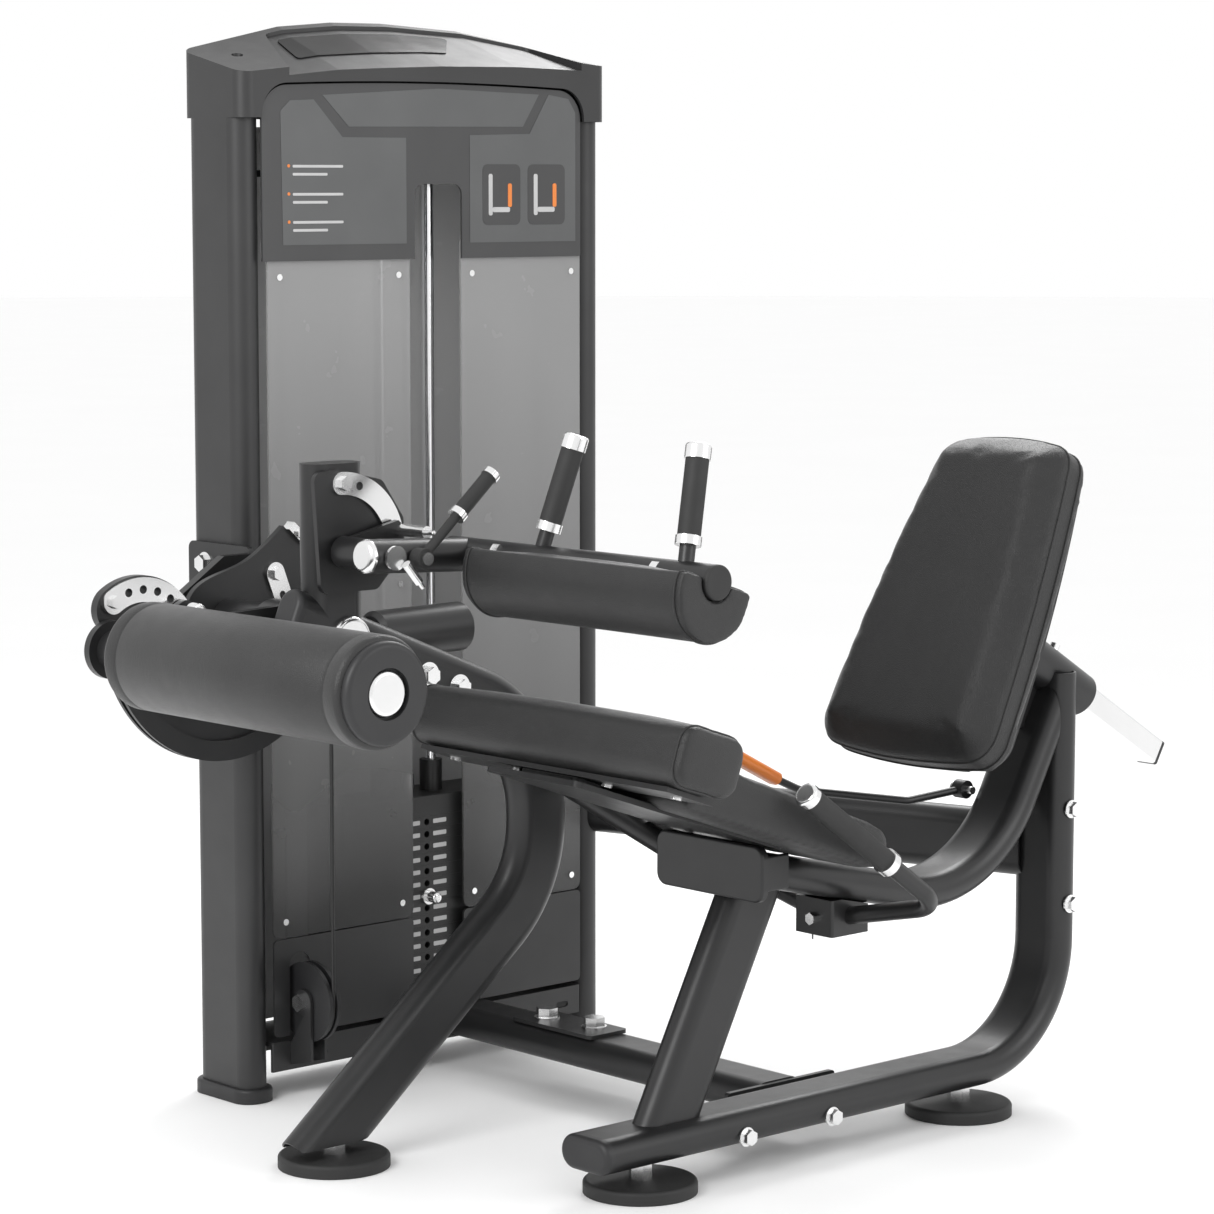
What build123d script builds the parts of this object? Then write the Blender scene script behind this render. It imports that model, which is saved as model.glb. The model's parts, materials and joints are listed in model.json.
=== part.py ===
from build123d import *
from math import atan2, cos, degrees, radians, sin, tan
import os

# Seated leg curl with a side weight tower. Millimetres, +Z up, the user faces -X.
# The origin is on the floor, under the middle of the machine.

os.makedirs("parts", exist_ok=True)

# Frame tube: a flat oval, 100 x 50
TUBE_WIDE = 100
TUBE_THIN = 50
WALL = 3

# Vertical planes that the two halves of the frame lie in
FRONT_Y = 88
SEAT_Y = -309

# Knee axis, along Y
KNEE_X = -445
KNEE_Z = 761
AXLE_R = 20
HUB_R = 35
HUB_Y = (118, 410)
RUN_GAP = 0.05

# Cam and cable
CAM_Y = 365
CAM_PITCH_R = 202
CABLE_R = 3
SHEAVE_R = 57
TOP_SHEAVE_R = 42
SHEAVE_Z = 152
TOP_SHEAVE_Z = 1475
CABLE_X = KNEE_X + CAM_PITCH_R
CABLE_REAR_Y = CAM_Y + 2 * SHEAVE_R

# Ankle roller and its crank
PIVOT_X = -750
PIVOT_Z = 769
ROLLER_X = -807
ROLLER_Z = 772
ROLLER_R = 73
ROLLER_Y = (-462, 42)
SHAFT_R = 27.5

# Thigh pad
THIGH_HUB_X = -466
THIGH_HUB_Z = 888
THIGH_TUBE_X = -312
THIGH_TUBE_Z = 881
THIGH_TUBE_R = 24
THIGH_ARM_Y = -40
SECTOR_HOLE_R = 96

# Weight tower
UPRIGHT_X = (-319, 363)
UPRIGHT_Y = 517
UPRIGHT_DEEP = 130
UPRIGHT_THIN = 50
UPRIGHT_Z = (22, 1498)
TOWER_TOP = 1650
PANEL_Y = 448
STACK_X = 25
STACK_Y = 515
ROD_R = 9
ROD_SPREAD = 50
PLATE_WIDE = 330
PLATE_DEEP = 100
PLATE_PITCH = 19.8
PLATE_THICK = 19.6
STACK_Z = 107
PLATES = 15
PLATES_RESTING = 8
HEAD_THICK = 32
SLOT_WIDE = 104
SLOT_X = 35

# Seat and backrest
BASE_Z = 70
POST_X = 619
SEAT_FALL = 19
RECLINE = 28
SLIDE_TILT = 31
SLEEVE_A = (555, 696)
SLEEVE_R = 35
SLEEVE_LONG = 159

SIDE = Vector(0, 1, 0)


def xz(y):
    """The vertical plane at one Y: sketch X is +X, sketch Y is +Z, normal is -Y."""
    return Plane.XZ.offset(-y)


def save(builder, name):
    """Label one finished sub-part and write it as one STEP file."""
    builder.part.label = name
    export_step(builder.part, f"parts/{name}.step")


def save_set(name, *builders):
    """Write pieces of one body and one material as one node of separate solids."""
    pieces = Compound([solid for builder in builders for solid in builder.part.solids()])
    pieces.label = name
    export_step(pieces, f"parts/{name}.step")


def oval_section(path, wide_across, wide=TUBE_WIDE, thin=TUBE_THIN, wall=WALL):
    """Flat-oval section at the start of a path that lies in a vertical XZ plane.

    wide_across puts the wide side along Y; otherwise it stands in the path's plane.
    """
    along = path % 0
    wide_dir = SIDE if wide_across else along.cross(SIDE)
    with BuildSketch(Plane(origin=path @ 0, x_dir=wide_dir, z_dir=along)) as section:
        SlotOverall(wide, thin)
        if wall:
            SlotOverall(wide - 2 * wall, thin - 2 * wall, mode=Mode.SUBTRACT)
    return section.sketch


def disc(plane, radius, amount, bore=0, mode=Mode.ADD):
    """A round plate or a ring that starts on a plane and grows along its normal."""
    with BuildSketch(plane) as face:
        Circle(radius)
        if bore:
            Circle(bore, mode=Mode.SUBTRACT)
    extrude(face.sketch, amount=amount, mode=mode)


def hex_bolt(plane, across=24, head=12, washer=0, grip=20):
    """A bolt seated on a plane: washer and hex head outside, plain shank inside."""
    if washer:
        disc(plane, washer, 2.5)
    seat = plane.offset(2.5 if washer else 0)
    with BuildSketch(seat) as head_face:
        RegularPolygon(across / 2, 6, major_radius=False)
    extrude(head_face.sketch, amount=head)
    if grip:
        disc(seat, across * 0.31, -grip)


def rod_between(start, end, radius, bore=0, mode=Mode.ADD):
    """A straight round rod or tube from one point to another."""
    span = Vector(*end) - Vector(*start)
    disc(Plane(origin=start, z_dir=span.normalized()), radius, span.length, bore, mode)


def round_box(x, y, z, radius):
    """A box from three low-high pairs, with its upright edges rounded."""
    centre = ((x[0] + x[1]) / 2, (y[0] + y[1]) / 2)
    with BuildSketch(Plane.XY.offset(z[0])) as face:
        with Locations(centre):
            RectangleRounded(x[1] - x[0], y[1] - y[0], radius)
    extrude(face.sketch, amount=z[1] - z[0])


def on_circle(centre, radius, angle):
    """A point on a circle in a sketch, from an angle in degrees."""
    return (centre[0] + radius * cos(radians(angle)), centre[1] + radius * sin(radians(angle)))


def arc_band(centre, radius, width, start, stop):
    """A curved band with round ends about a centre, in the sketch that is open."""
    middle = (start + stop) / 2
    with Locations(centre):
        Circle(radius + width / 2)
        Circle(radius - width / 2, mode=Mode.SUBTRACT)
    Polygon(
        centre, on_circle(centre, 2 * radius, start), on_circle(centre, 2 * radius, middle),
        on_circle(centre, 2 * radius, stop), align=None, mode=Mode.INTERSECT,
    )
    with Locations(on_circle(centre, radius, start), on_circle(centre, radius, stop)):
        Circle(width / 2)


# ---------------------------------------------------------------- frame paths

with BuildLine(xz(FRONT_Y)) as front_path:
    FilletPolyline((-529, 787), (-75, 599), (-75, 368), (-513, 8.4), radius=190)

with BuildLine(xz(SEAT_Y)) as base_path:
    FilletPolyline((-320, BASE_Z), (POST_X, BASE_Z), (POST_X, 660), radius=180)

with BuildLine(xz(SEAT_Y)) as rail_path:
    FilletPolyline((-99, 451), (448, 325), (640, 670), radius=230)

with BuildLine(xz(SEAT_Y)) as strut_path:
    Line((-206, 45), (34, 505))

# ------------------------------------------------ sleeve that the backrest slides in

slide_dir = Vector(cos(radians(SLIDE_TILT)), 0, -sin(radians(SLIDE_TILT)))
sleeve_plane = Plane(origin=(SLEEVE_A[0], SEAT_Y, SLEEVE_A[1]), x_dir=SIDE, z_dir=slide_dir)
SLIDE_TUBE = 40
LINER_R = 31

with BuildPart() as sleeve_core:
    disc(sleeve_plane, SLEEVE_R, SLEEVE_LONG)

with BuildPart() as backrest_sleeve:
    disc(sleeve_plane, SLEEVE_R, SLEEVE_LONG, LINER_R)
    fillet(backrest_sleeve.edges().filter_by(GeomType.CIRCLE).group_by(SortBy.RADIUS)[-1], 2)
save(backrest_sleeve, "backrest_sleeve")

with BuildPart() as slide_liners:
    for depth in (3, SLEEVE_LONG - 33):
        with BuildSketch(sleeve_plane.offset(depth)) as liner_face:
            Circle(LINER_R)
            Rectangle(SLIDE_TUBE + 0.2, SLIDE_TUBE + 0.2, mode=Mode.SUBTRACT)
        extrude(liner_face.sketch, amount=30)
save(slide_liners, "slide_liners")

# ------------------------------------------------------------------ knee axle

with BuildPart() as knee_axle:
    disc(Plane(origin=(KNEE_X, 60, KNEE_Z), z_dir=(0, 1, 0)), AXLE_R, 376)

with BuildPart() as axle_cap:
    disc(Plane(origin=(KNEE_X, 63, KNEE_Z), z_dir=(0, -1, 0)), 34, 10)
    fillet(axle_cap.faces().sort_by(Axis.Y)[0].edges(), 7)
    add(knee_axle.part, mode=Mode.SUBTRACT)

# ------------------------------------------------------------- bolts of the frame

with BuildPart() as beam_bolts:
    for x, z in ((-302, 698), (-244, 675)):
        hex_bolt(Plane(origin=(x, 63, z), z_dir=(0, -1, 0)), 22, 12, washer=19, grip=70)

with BuildPart() as frame_bolts:
    for x, z in ((-72, 60), (101, 60), (POST_X, 451), (POST_X, 304)):
        hex_bolt(Plane(origin=(x, -360, z), z_dir=(0, -1, 0)), 20, 10, washer=14, grip=30)

# ---------------------------------------------------------------- front frame

with BuildPart() as front_frame:
    sweep(oval_section(front_path.line, False), path=front_path.line)
    split(bisect_by=Plane.XY.offset(35), keep=Keep.TOP)
    with BuildSketch(Plane.XY.offset(786)) as post_face:
        with Locations((-458, FRONT_Y)):
            SlotOverall(95, TUBE_THIN)
            SlotOverall(95 - 2 * WALL, TUBE_THIN - 2 * WALL, mode=Mode.SUBTRACT)
    extrude(post_face.sketch, amount=219)
    with BuildSketch(Plane.XY.offset(1005)) as post_top:
        with Locations((-458, FRONT_Y)):
            SlotOverall(95, TUBE_THIN)
    extrude(post_top.sketch, amount=6)
    disc(Plane(origin=(KNEE_X, 63, KNEE_Z), z_dir=(0, 1, 0)), 30, 50)
    disc(Plane.XY.offset(35).move(Location((-460.5, FRONT_Y, 0))), 20, 6)
    add(knee_axle.part, mode=Mode.SUBTRACT)
    add(beam_bolts.part, mode=Mode.SUBTRACT)
save(front_frame, "front_frame")


def end_cap(path, wide_across):
    """A domed plastic cap on the start of a flat-oval tube."""
    along = path % 0
    wide_dir = SIDE if wide_across else along.cross(SIDE)
    with BuildSketch(Plane(origin=path @ 0, x_dir=wide_dir, z_dir=along * -1)) as cap_face:
        SlotOverall(TUBE_WIDE, TUBE_THIN)
    cap = extrude(cap_face.sketch, amount=16)
    fillet(cap.faces().sort_by(Axis(path @ 0, along * -1))[-1].edges(), 9)


with BuildPart() as beam_end_cap:
    end_cap(front_path.line, False)

with BuildPart() as base_end_cap:
    end_cap(base_path.line, True)

# ----------------------------------------------------------------- seat frame

with BuildPart() as base_frame:
    sweep(oval_section(base_path.line, True), path=base_path.line)
    add(sleeve_core.part, mode=Mode.SUBTRACT)
    add(frame_bolts.part, mode=Mode.SUBTRACT)
save(base_frame, "base_frame")

rail_dir = (rail_path.line % 0).normalized()
rail_up = Vector(-rail_dir.Z, 0, rail_dir.X)
rail_under = Plane(origin=(rail_path.line @ 0) - rail_up * TUBE_THIN / 2, x_dir=SIDE, z_dir=rail_up)

with BuildPart() as seat_rail:
    sweep(oval_section(rail_path.line, True), path=rail_path.line)
    split(bisect_by=Plane(origin=(POST_X - TUBE_THIN / 2, 0, 0), z_dir=(-1, 0, 0)), keep=Keep.TOP)
    split(bisect_by=Plane(origin=(-87, 0, 0), z_dir=(1, 0, 0)), keep=Keep.TOP)
    add(sleeve_core.part, mode=Mode.SUBTRACT)
save(seat_rail, "seat_rail")

with BuildPart() as strut:
    sweep(oval_section(strut_path.line, False), path=strut_path.line)
    split(bisect_by=Plane.XY.offset(BASE_Z + TUBE_THIN / 2), keep=Keep.TOP)
    split(bisect_by=rail_under, keep=Keep.BOTTOM)

with BuildPart() as seat_cross_bracket:
    with BuildSketch(Plane(origin=(-87, SEAT_Y, 445), x_dir=SIDE, z_dir=(-1, 0, 0))) as bracket_face:
        RectangleRounded(216, 80, 18)
    extrude(bracket_face.sketch, amount=12)
    for side in (-1, 1):
        flange_plane = Plane(origin=(-87, SEAT_Y + side * 98, 445), x_dir=SIDE, z_dir=(1, 0, 0))
        with BuildSketch(flange_plane) as flange_face:
            RectangleRounded(8, 50, 3)
        extrude(flange_face.sketch, amount=46)
    fillet(seat_cross_bracket.faces().sort_by(Axis.X)[0].edges(), 4)

with BuildPart() as leg_brace:
    rod_between((-52, 100, 531), (-68, -230, 443), 17.5, 14.5)
    split(bisect_by=Plane(origin=(0, FRONT_Y - TUBE_THIN / 2, 0), z_dir=(0, -1, 0)), keep=Keep.TOP)
    split(bisect_by=Plane(origin=(0, SEAT_Y + 102, 0), z_dir=(0, 1, 0)), keep=Keep.TOP)

# ------------------------------------------------------------ low and rear beams

tower_inner = (UPRIGHT_X[0] + UPRIGHT_THIN / 2, UPRIGHT_X[1] - UPRIGHT_THIN / 2)
tower_front = UPRIGHT_Y - UPRIGHT_DEEP / 2
tower_back = UPRIGHT_Y + UPRIGHT_DEEP / 2

LOW_X = 100
flange_y = SEAT_Y + TUBE_WIDE / 2

with BuildPart() as splice_bolts:
    for x, y in ((99, 261), (109, 162)):
        hex_bolt(Plane(origin=(x, y, BASE_Z + 31)), 30, 14, washer=20, grip=20)

with BuildPart() as splice_plate:
    round_box((62, 140), (118, 305), (BASE_Z + 25, BASE_Z + 31), 8)
    add(splice_bolts.part, mode=Mode.SUBTRACT)

with BuildPart() as base_flange:
    base_flange_plane = Plane(origin=(LOW_X, flange_y, BASE_Z), x_dir=(1, 0, 0), z_dir=(0, 1, 0))
    with BuildSketch(base_flange_plane) as base_flange_face:
        RectangleRounded(220, 46, 6)
    extrude(base_flange_face.sketch, amount=8)

with BuildPart() as lower_tube:
    low_start = Plane(origin=(LOW_X, flange_y + 8, BASE_Z), x_dir=(1, 0, 0), z_dir=(0, 1, 0))
    with BuildSketch(low_start) as low_face:
        SlotOverall(TUBE_WIDE, TUBE_THIN)
        SlotOverall(TUBE_WIDE - 2 * WALL, TUBE_THIN - 2 * WALL, mode=Mode.SUBTRACT)
    extrude(low_face.sketch, amount=UPRIGHT_Y - UPRIGHT_DEEP / 2 - low_start.origin.Y)
    add(splice_bolts.part, mode=Mode.SUBTRACT)


def upright_faces(z, wall):
    """Both tower uprights' sections at one height; no wall gives the full outline."""
    with BuildSketch(Plane.XY.offset(z)) as faces:
        with Locations(*[(x, UPRIGHT_Y) for x in UPRIGHT_X]):
            SlotOverall(UPRIGHT_DEEP, UPRIGHT_THIN, rotation=90)
            if wall:
                bore_deep = UPRIGHT_DEEP - 2 * wall
                bore_thin = UPRIGHT_THIN - 2 * wall
                SlotOverall(bore_deep, bore_thin, rotation=90, mode=Mode.SUBTRACT)
    return faces.sketch


REAR_BEAM_Z = 388
rear_start = Vector(UPRIGHT_X[1], UPRIGHT_Y, REAR_BEAM_Z)
rear_end = Vector(POST_X, SEAT_Y, REAR_BEAM_Z)
rear_along = (rear_end - rear_start).normalized()

with BuildPart() as rear_beam:
    with BuildSketch(Plane(origin=rear_start, x_dir=(0, 0, 1), z_dir=rear_along)) as rear_face:
        SlotOverall(TUBE_WIDE, TUBE_THIN)
        SlotOverall(TUBE_WIDE - 2 * WALL, TUBE_THIN - 2 * WALL, mode=Mode.SUBTRACT)
    extrude(rear_face.sketch, amount=(rear_end - rear_start).length)
    extrude(upright_faces(REAR_BEAM_Z - 80, 0), amount=160, mode=Mode.SUBTRACT)
    with BuildSketch(Plane.XY.offset(REAR_BEAM_Z - 80)) as post_cut:
        with Locations((POST_X, SEAT_Y)):
            SlotOverall(TUBE_WIDE, TUBE_THIN, rotation=90)
    extrude(post_cut.sketch, amount=160, mode=Mode.SUBTRACT)
    split(bisect_by=Plane(origin=(0, tower_front + TUBE_THIN / 2, 0), z_dir=(0, -1, 0)), keep=Keep.TOP)
    split(bisect_by=Plane(origin=(0, SEAT_Y + TUBE_THIN / 2, 0), z_dir=(0, 1, 0)), keep=Keep.TOP)
save_set("tower_links", lower_tube, rear_beam)

# ------------------------------------------------------------------ feet

FEET = ((-460.5, FRONT_Y, 35), (-229, SEAT_Y, 45), (428, SEAT_Y, 45))

with BuildPart() as rubber_feet:
    for x, y, top in FEET:
        disc(Plane(origin=(x, y, 0)), 81, 19)
    fillet(rubber_feet.faces().group_by(Axis.Z)[-1].edges(), 6)

with BuildPart() as foot_stems:
    for x, y, top in FEET:
        with BuildSketch(Plane(origin=(x, y, 19))) as stem_face:
            RegularPolygon(17, 6)
        extrude(stem_face.sketch, amount=top - 19)

# ------------------------------------------------------------------ tower

with BuildPart() as bracket_bolts:
    for z in (828, 706):
        hex_bolt(Plane(origin=(-352, 530, z), z_dir=(-1, 0, 0)), 22, 11, washer=17, grip=14)

with BuildPart() as tower_uprights:
    extrude(upright_faces(UPRIGHT_Z[0], WALL), amount=UPRIGHT_Z[1] - UPRIGHT_Z[0])
    add(bracket_bolts.part, mode=Mode.SUBTRACT)
save(tower_uprights, "tower_uprights")

with BuildPart() as upright_boots:
    for x in UPRIGHT_X:
        round_box((x - 33, x + 33), (UPRIGHT_Y - 73, UPRIGHT_Y + 73), (0, 22), 30)
    fillet(upright_boots.faces().group_by(Axis.Z)[-1].edges(), 5)

with BuildPart() as tower_bearing_plate:
    with BuildSketch(xz(434)) as bearing_face:
        with BuildLine():
            Polyline(
                (-490, 790), (-400, 850), (-344, 850), (-344, 680), (-400, 680), (-490, 735), close=True
            )
        make_face()
        with Locations((KNEE_X, KNEE_Z)):
            Circle(48)
    extrude(bearing_face.sketch, amount=16)
    with BuildSketch(Plane(origin=(-344, 0, 0), x_dir=SIDE, z_dir=(-1, 0, 0))) as tab_face:
        with Locations((496, -765)):
            RectangleRounded(156, 190, 12)
    extrude(tab_face.sketch, amount=8)
    add(knee_axle.part, mode=Mode.SUBTRACT)
    add(bracket_bolts.part, mode=Mode.SUBTRACT)

CHANNEL_Z = (42, 88)
BACK_SHEET = 3

with BuildPart() as bottom_channel:
    round_box(tower_inner, (tower_front, tower_back), CHANNEL_Z, 2)
    with BuildSketch(Plane.XY.offset(CHANNEL_Z[0])) as channel_inside:
        with Locations((sum(tower_inner) / 2, UPRIGHT_Y)):
            Rectangle(tower_inner[1] - tower_inner[0], UPRIGHT_DEEP - 10)
    extrude(channel_inside.sketch, amount=40, mode=Mode.SUBTRACT)
    with BuildSketch(xz(tower_front)) as channel_slots:
        with Locations((-246, 60), (-200, 60), (210, 60), (300, 60)):
            SlotOverall(26, 10)
    extrude(channel_slots.sketch, amount=-5, mode=Mode.SUBTRACT)
    for side in (-1, 1):
        disc(Plane(origin=(STACK_X + side * ROD_SPREAD, STACK_Y, 82)), ROD_R, 6)

CROSSHEAD_Z = 1410
rod_spots = [(STACK_X - ROD_SPREAD, STACK_Y), (STACK_X + ROD_SPREAD, STACK_Y)]

with BuildPart() as guide_rods:
    with BuildSketch(Plane.XY.offset(CHANNEL_Z[1])) as rod_faces:
        with Locations(*rod_spots):
            Circle(ROD_R)
    extrude(rod_faces.sketch, amount=CROSSHEAD_Z - CHANNEL_Z[1])
save(guide_rods, "guide_rods")

with BuildPart() as crosshead:
    round_box(tower_inner, (UPRIGHT_Y - 45, UPRIGHT_Y + 45), (CROSSHEAD_Z, CROSSHEAD_Z + 10), 2)
    for x, y in ((STACK_X, STACK_Y), (CABLE_X, CABLE_REAR_Y)):
        disc(Plane(origin=(x, y, CROSSHEAD_Z)), 12, 10, mode=Mode.SUBTRACT)

with BuildPart() as back_panel:
    with BuildSketch(xz(tower_back + BACK_SHEET)) as back_face:
        with Locations((sum(UPRIGHT_X) / 2, 789)):
            RectangleRounded(UPRIGHT_X[1] - UPRIGHT_X[0], 1394, 10)
    extrude(back_face.sketch, amount=BACK_SHEET)
save(back_panel, "back_panel")

# Front panels: frosted above, opaque below, each in two halves beside the slot
SLOT_LEFT = SLOT_X - SLOT_WIDE / 2
SLOT_RIGHT = SLOT_X + SLOT_WIDE / 2
PANEL_X = (-292, 336)
PANEL_SPLIT_Z = 250
SHROUD_TOP = 1320


def panel_half(low, high, bottom, top, corner):
    """One flat panel of the tower's front, 4 mm thick, with rounded corners."""
    with BuildSketch(xz(PANEL_Y + 4)) as face:
        with Locations(((low + high) / 2, (bottom + top) / 2)):
            RectangleRounded(high - low, top - bottom, corner)
    extrude(face.sketch, amount=4)


with BuildPart() as frosted_shrouds:
    panel_half(PANEL_X[0], SLOT_LEFT, PANEL_SPLIT_Z, SHROUD_TOP, 14)
    panel_half(SLOT_RIGHT, PANEL_X[1], PANEL_SPLIT_Z, SHROUD_TOP, 14)
save(frosted_shrouds, "frosted_shrouds")

with BuildPart() as lower_shrouds:
    panel_half(PANEL_X[0], SLOT_LEFT, 97, PANEL_SPLIT_Z - 2, 8)
    panel_half(SLOT_RIGHT, PANEL_X[1], 97, PANEL_SPLIT_Z - 2, 8)
    with BuildSketch(xz(PANEL_Y + 4)) as sheave_gap:
        with Locations((CABLE_X, 150)):
            SlotOverall(150, 40, rotation=90)
    extrude(sheave_gap.sketch, amount=4, mode=Mode.SUBTRACT)
save(lower_shrouds, "lower_shrouds")

with BuildPart() as panel_screws:
    for x in (-270, -40, 108, 316):
        for z in (275, 780, 1260):
            disc(Plane(origin=(x, PANEL_Y, z), z_dir=(0, -1, 0)), 5, 2)

PLACARD_X = (-303, 334)
PLACARD_Z = (1284, 1545)


def placard_outline(grow, floor):
    """The placard's outline, or one that is larger all round: upright sides, a low arch."""
    low, high, top = PLACARD_X[0] - grow, PLACARD_X[1] + grow, PLACARD_Z[1] + grow
    with BuildSketch(xz(PANEL_Y)) as outline:
        with BuildLine():
            Line((low, floor), (low, top))
            ThreePointArc((low, top), ((low + high) / 2, top + 8), (high, top))
            Line((high, top), (high, floor))
            Line((high, floor), (low, floor))
        make_face()
        fillet(outline.vertices().group_by(Axis.Y)[-1], 48)
    return outline.sketch


with BuildPart() as placard:
    extrude(placard_outline(0, PLACARD_Z[0]), amount=4)
    with BuildSketch(xz(PANEL_Y)) as placard_slot:
        with Locations((38.5, PLACARD_Z[0])):
            RectangleRounded(95, 230, 16)
    extrude(placard_slot.sketch, amount=4, mode=Mode.SUBTRACT)
save(placard, "placard")

# Hood: its roof falls from a ridge at the rear to a lower edge at the front
HOOD_Y = (438, 590)
HOOD_LOW = 1498
ROOF_FRONT = ((-344, 1564), (-161, 1583), (-58, 1588), (42, 1592), (196, 1594), (334, 1591), (388, 1586))
ROOF_REAR = ((-344, 1600), (-161, 1640), (-58, 1649), (42, TOWER_TOP), (196, 1642), (334, 1622), (388, 1608))


def hood_block(inset, front_drop, rear_drop):
    """A block under the roof, drawn in at the sides and lowered at the front and rear."""
    faces = []
    front = (HOOD_Y[0] + inset, ROOF_FRONT, front_drop)
    rear = (HOOD_Y[1] - inset, ROOF_REAR, rear_drop)
    for y, ridge, drop in (front, rear):
        spots = [(ridge[0][0] + inset, HOOD_LOW), (ridge[0][0] + inset, ridge[0][1] - drop)]
        spots += [(x, z - drop) for x, z in ridge[1:-1]]
        spots += [(ridge[-1][0] - inset, ridge[-1][1] - drop), (ridge[-1][0] - inset, HOOD_LOW)]
        with BuildSketch(xz(y)) as face:
            with BuildLine():
                Polyline(*spots, close=True)
            make_face()
        faces.append(face.sketch.face())
    return Solid.make_loft([face.outer_wire() for face in faces], ruled=True)


with BuildPart() as roof_recess:
    with BuildSketch(Plane.XY.offset(HOOD_LOW + 30)) as recess_plan:
        with BuildLine():
            Polyline((-258, 430), (332, 430), (332, 576), (-196, 576), close=True)
        make_face()
        fillet(recess_plan.vertices().group_by(Axis.Y)[-1], 14)
    extrude(recess_plan.sketch, amount=TOWER_TOP - HOOD_LOW)
    add(hood_block(0, 12, 5), mode=Mode.SUBTRACT)

HOOD_CORNER = 22
HOOD_WALL = 5

with BuildPart() as hood_hollow:
    add(hood_block(HOOD_WALL, 18, 11))
    fillet(hood_hollow.edges().filter_by(Axis.Z), HOOD_CORNER - HOOD_WALL)

with BuildPart() as hood:
    add(hood_block(0, 0, 0))
    fillet(hood.edges().filter_by(Axis.Z), HOOD_CORNER)
    add(roof_recess.part, mode=Mode.SUBTRACT)
    add(hood_hollow.part, mode=Mode.SUBTRACT)
    extrude(placard_outline(3, HOOD_LOW), amount=12, mode=Mode.SUBTRACT)
    disc(Plane(origin=(-290, 520, TOWER_TOP), z_dir=(0, 0, -1)), 9, 120, mode=Mode.SUBTRACT)
save(hood, "hood")

with BuildPart() as hood_insert:
    with BuildSketch(Plane.XY.offset(HOOD_LOW + 30)) as insert_plan:
        with BuildLine():
            Polyline((-200, 488), (92, 488), (150, 556), (-188, 556), close=True)
        make_face()
        fillet(insert_plan.vertices(), 6)
    extrude(insert_plan.sketch, amount=TOWER_TOP - HOOD_LOW)
    add(hood_block(0, 10, 3), mode=Mode.INTERSECT)
    add(hood_block(0, 12, 5), mode=Mode.SUBTRACT)
save(hood_insert, "hood_insert")

# ------------------------------------------------------------------ weight stack

plate_y = (STACK_Y - PLATE_DEEP / 2, STACK_Y + PLATE_DEEP / 2)
PIN_HOLE_R = 5.25
SPINE_R = 12


def weight_plates(first, count):
    """Stack plates as separate solids, bored for the rods, the spine and the pin."""
    for row in range(first, first + count):
        low = STACK_Z + row * PLATE_PITCH
        with BuildSketch(Plane.XY.offset(low)) as plate_face:
            with Locations((STACK_X, STACK_Y)):
                RectangleRounded(PLATE_WIDE, PLATE_DEEP, 6)
                Circle(SPINE_R + 1, mode=Mode.SUBTRACT)
            with Locations(*rod_spots):
                Circle(ROD_R + 1, mode=Mode.SUBTRACT)
        extrude(plate_face.sketch, amount=PLATE_THICK)
        bore = Plane(origin=(STACK_X, plate_y[0], low + PLATE_PITCH / 2), z_dir=(0, 1, 0))
        with BuildSketch(bore) as pin_face:
            Circle(PIN_HOLE_R)
        extrude(pin_face.sketch, amount=PLATE_DEEP / 2, mode=Mode.SUBTRACT)


with BuildPart() as resting_plates:
    weight_plates(0, PLATES_RESTING)
save(resting_plates, "resting_plates")

with BuildPart() as lifted_plates:
    weight_plates(PLATES_RESTING, PLATES - PLATES_RESTING)
save(lifted_plates, "lifted_plates")

head_z = STACK_Z + PLATES * PLATE_PITCH
pin_z = STACK_Z + (PLATES_RESTING + 0.5) * PLATE_PITCH

with BuildPart() as stack_bushes:
    with BuildSketch(Plane.XY.offset(head_z)) as bush_faces:
        with Locations(*rod_spots):
            Circle(18)
            Circle(ROD_R + RUN_GAP, mode=Mode.SUBTRACT)
    extrude(bush_faces.sketch, amount=81)

with BuildPart() as selector_spine:
    disc(Plane(origin=(STACK_X, STACK_Y, STACK_Z - 8)), SPINE_R, head_z + HEAD_THICK + 30 - STACK_Z + 8)
    for row in range(PLATES):
        bore = Plane(origin=(STACK_X, STACK_Y - 20, STACK_Z + (row + 0.5) * PLATE_PITCH), z_dir=(0, 1, 0))
        with BuildSketch(bore) as spine_face:
            Circle(PIN_HOLE_R)
        extrude(spine_face.sketch, amount=40, mode=Mode.SUBTRACT)
save(selector_spine, "selector_spine")

with BuildPart() as head_plate:
    with BuildSketch(Plane.XY.offset(head_z)) as head_face:
        with Locations((STACK_X, STACK_Y)):
            RectangleRounded(PLATE_WIDE, PLATE_DEEP, 6)
    extrude(head_face.sketch, amount=HEAD_THICK)
    fillet(head_plate.faces().sort_by(Axis.Z)[-1].edges(), 3)
    add(stack_bushes.part, mode=Mode.SUBTRACT)
    with BuildSketch(Plane.XY.offset(head_z)) as head_bores:
        with Locations(*rod_spots):
            Circle(ROD_R + RUN_GAP)
    extrude(head_bores.sketch, amount=HEAD_THICK, mode=Mode.SUBTRACT)
    add(selector_spine.part, mode=Mode.SUBTRACT)

with BuildPart() as stack_cushions:
    with BuildSketch(Plane.XY.offset(CHANNEL_Z[1])) as cushion_faces:
        with Locations(*rod_spots):
            Circle(22)
            Circle(ROD_R, mode=Mode.SUBTRACT)
    extrude(cushion_faces.sketch, amount=STACK_Z - CHANNEL_Z[1] - 0.2)

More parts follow.
